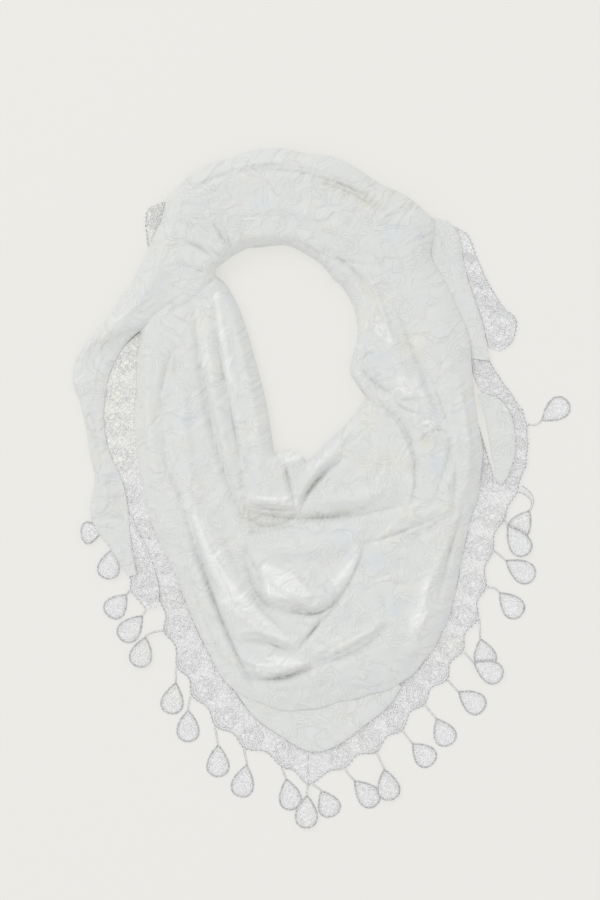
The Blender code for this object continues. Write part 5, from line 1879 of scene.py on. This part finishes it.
def finish(name):
    """The material of this name, made when a piece first asks for it."""
    found = bpy.data.materials.get(name)
    if found:
        return found
    surface = Surface(name)
    FINISHES[name](surface)
    return surface.material


# ---------------------------------------------------------------- stage

VIEW_CENTRE = (300, 450)
VIEW_HEIGHT = 900
CAMERA_HEIGHT = 3.0
SENSOR_HEIGHT = 24.0
FLOOR_SIZE = 8
FLOOR_DIFFUSE = 0.35
FLOOR_GLOW = 0.66
ROOM_LIGHT = 0.88
LAMP_PLACE = (-2.6, 2.9, 2.9)
LAMP_SIZE = 2.0
LAMP_POWER = 34


def build_stage():
    """The pale floor, the soft light and the camera straight above."""
    scene = bpy.context.scene
    scene.view_settings.view_transform = "Standard"
    centre = to_world((*VIEW_CENTRE, 0))
    deselect_all()
    bpy.ops.object.camera_add(location=(centre[0], centre[1], CAMERA_HEIGHT), rotation=(0, 0, 0))
    camera = bpy.context.active_object
    camera.data.sensor_fit = "VERTICAL"
    camera.data.sensor_height = SENSOR_HEIGHT
    camera.data.lens = SENSOR_HEIGHT * CAMERA_HEIGHT / (VIEW_HEIGHT * MM)
    scene.camera = camera

    deselect_all()
    bpy.ops.mesh.primitive_plane_add(size=FLOOR_SIZE, location=(0, 0, 0))
    floor = bpy.context.active_object
    floor.name = "floor"
    floor.data.materials.append(finish("pale_floor"))

    world = bpy.data.worlds.new("soft_room")
    scene.world = world
    world.use_nodes = True
    back = world.node_tree.nodes.get("Background") or world.node_tree.nodes.new("ShaderNodeBackground")
    out = world.node_tree.nodes.get("World Output") or world.node_tree.nodes.new("ShaderNodeOutputWorld")
    world.node_tree.links.new(back.outputs["Background"], out.inputs["Surface"])
    back.inputs["Color"].default_value = (1, 1, 1, 1)
    back.inputs["Strength"].default_value = ROOM_LIGHT

    bpy.ops.object.light_add(type="AREA", location=LAMP_PLACE)
    lamp = bpy.context.active_object
    lamp.rotation_euler = (Vector((0, 0, 0)) - lamp.location).to_track_quat("-Z", "Y").to_euler()
    lamp.data.shape = "SQUARE"
    lamp.data.size = LAMP_SIZE
    lamp.data.energy = LAMP_POWER


# ---------------------------------------------------------------- add-on

class SCARF_OT_add_stage(bpy.types.Operator):
    """Add the pale floor, the soft light and the camera above the scarf"""

    bl_idname = "scarf.add_stage"
    bl_label = "Add the stage"

    def execute(self, context):
        build_stage()
        return {"FINISHED"}


class SCARF_OT_add_ring(bpy.types.Operator):
    """Add the cloth of the ring: its strands, rolled edge, draped front and neck band"""

    bl_idname = "scarf.add_ring"
    bl_label = "Add the ring's cloth"

    def execute(self, context):
        build_ring(context.scene.scarf_sizes)
        return {"FINISHED"}


class SCARF_OT_add_tails(bpy.types.Operator):
    """Add the wrap over the pinch, the loose tails and the lower hem layer"""

    bl_idname = "scarf.add_tails"
    bl_label = "Add the wrap and tails"

    def execute(self, context):
        build_tails(context.scene.scarf_sizes)
        return {"FINISHED"}


class SCARF_OT_add_layers(bpy.types.Operator):
    """Add the folded layers that lie under the cloth and show at its edges"""

    bl_idname = "scarf.add_layers"
    bl_label = "Add the hidden layers"

    def execute(self, context):
        build_layers(context.scene.scarf_sizes)
        return {"FINISHED"}


class SCARF_OT_add_lace(bpy.types.Operator):
    """Add the lace edging and its teardrop drops"""

    bl_idname = "scarf.add_lace"
    bl_label = "Add the lace"

    def execute(self, context):
        build_lace(context.scene.scarf_sizes)
        return {"FINISHED"}


class SCARF_PT_maker(bpy.types.Panel):
    """The scarf's sizes, colours and build steps"""

    bl_idname = "SCARF_PT_maker"
    bl_label = "Lace Waist Scarf"
    bl_space_type = "VIEW_3D"
    bl_region_type = "UI"
    bl_category = "Scarf"

    def draw(self, context):
        layout = self.layout
        for group in (context.scene.scarf_sizes, context.scene.scarf_colours):
            column = layout.column(align=True)
            for name in group.__annotations__:
                column.prop(group, name)
        for step in STEPS:
            layout.operator(step.bl_idname)


STEPS = (SCARF_OT_add_stage, SCARF_OT_add_ring, SCARF_OT_add_tails, SCARF_OT_add_layers, SCARF_OT_add_lace)
CLASSES = (ScarfSizes, ScarfColours, *STEPS, SCARF_PT_maker)


def register():
    for made in CLASSES:
        bpy.utils.register_class(made)
    bpy.types.Scene.scarf_sizes = PointerProperty(type=ScarfSizes)
    bpy.types.Scene.scarf_colours = PointerProperty(type=ScarfColours)


def unregister():
    del bpy.types.Scene.scarf_colours
    del bpy.types.Scene.scarf_sizes
    for made in reversed(CLASSES):
        bpy.utils.unregister_class(made)


def main():
    register()
    bpy.ops.scarf.add_stage()
    bpy.ops.scarf.add_ring()
    bpy.ops.scarf.add_tails()
    bpy.ops.scarf.add_layers()
    bpy.ops.scarf.add_lace()


if __name__ == "__main__":
    main()
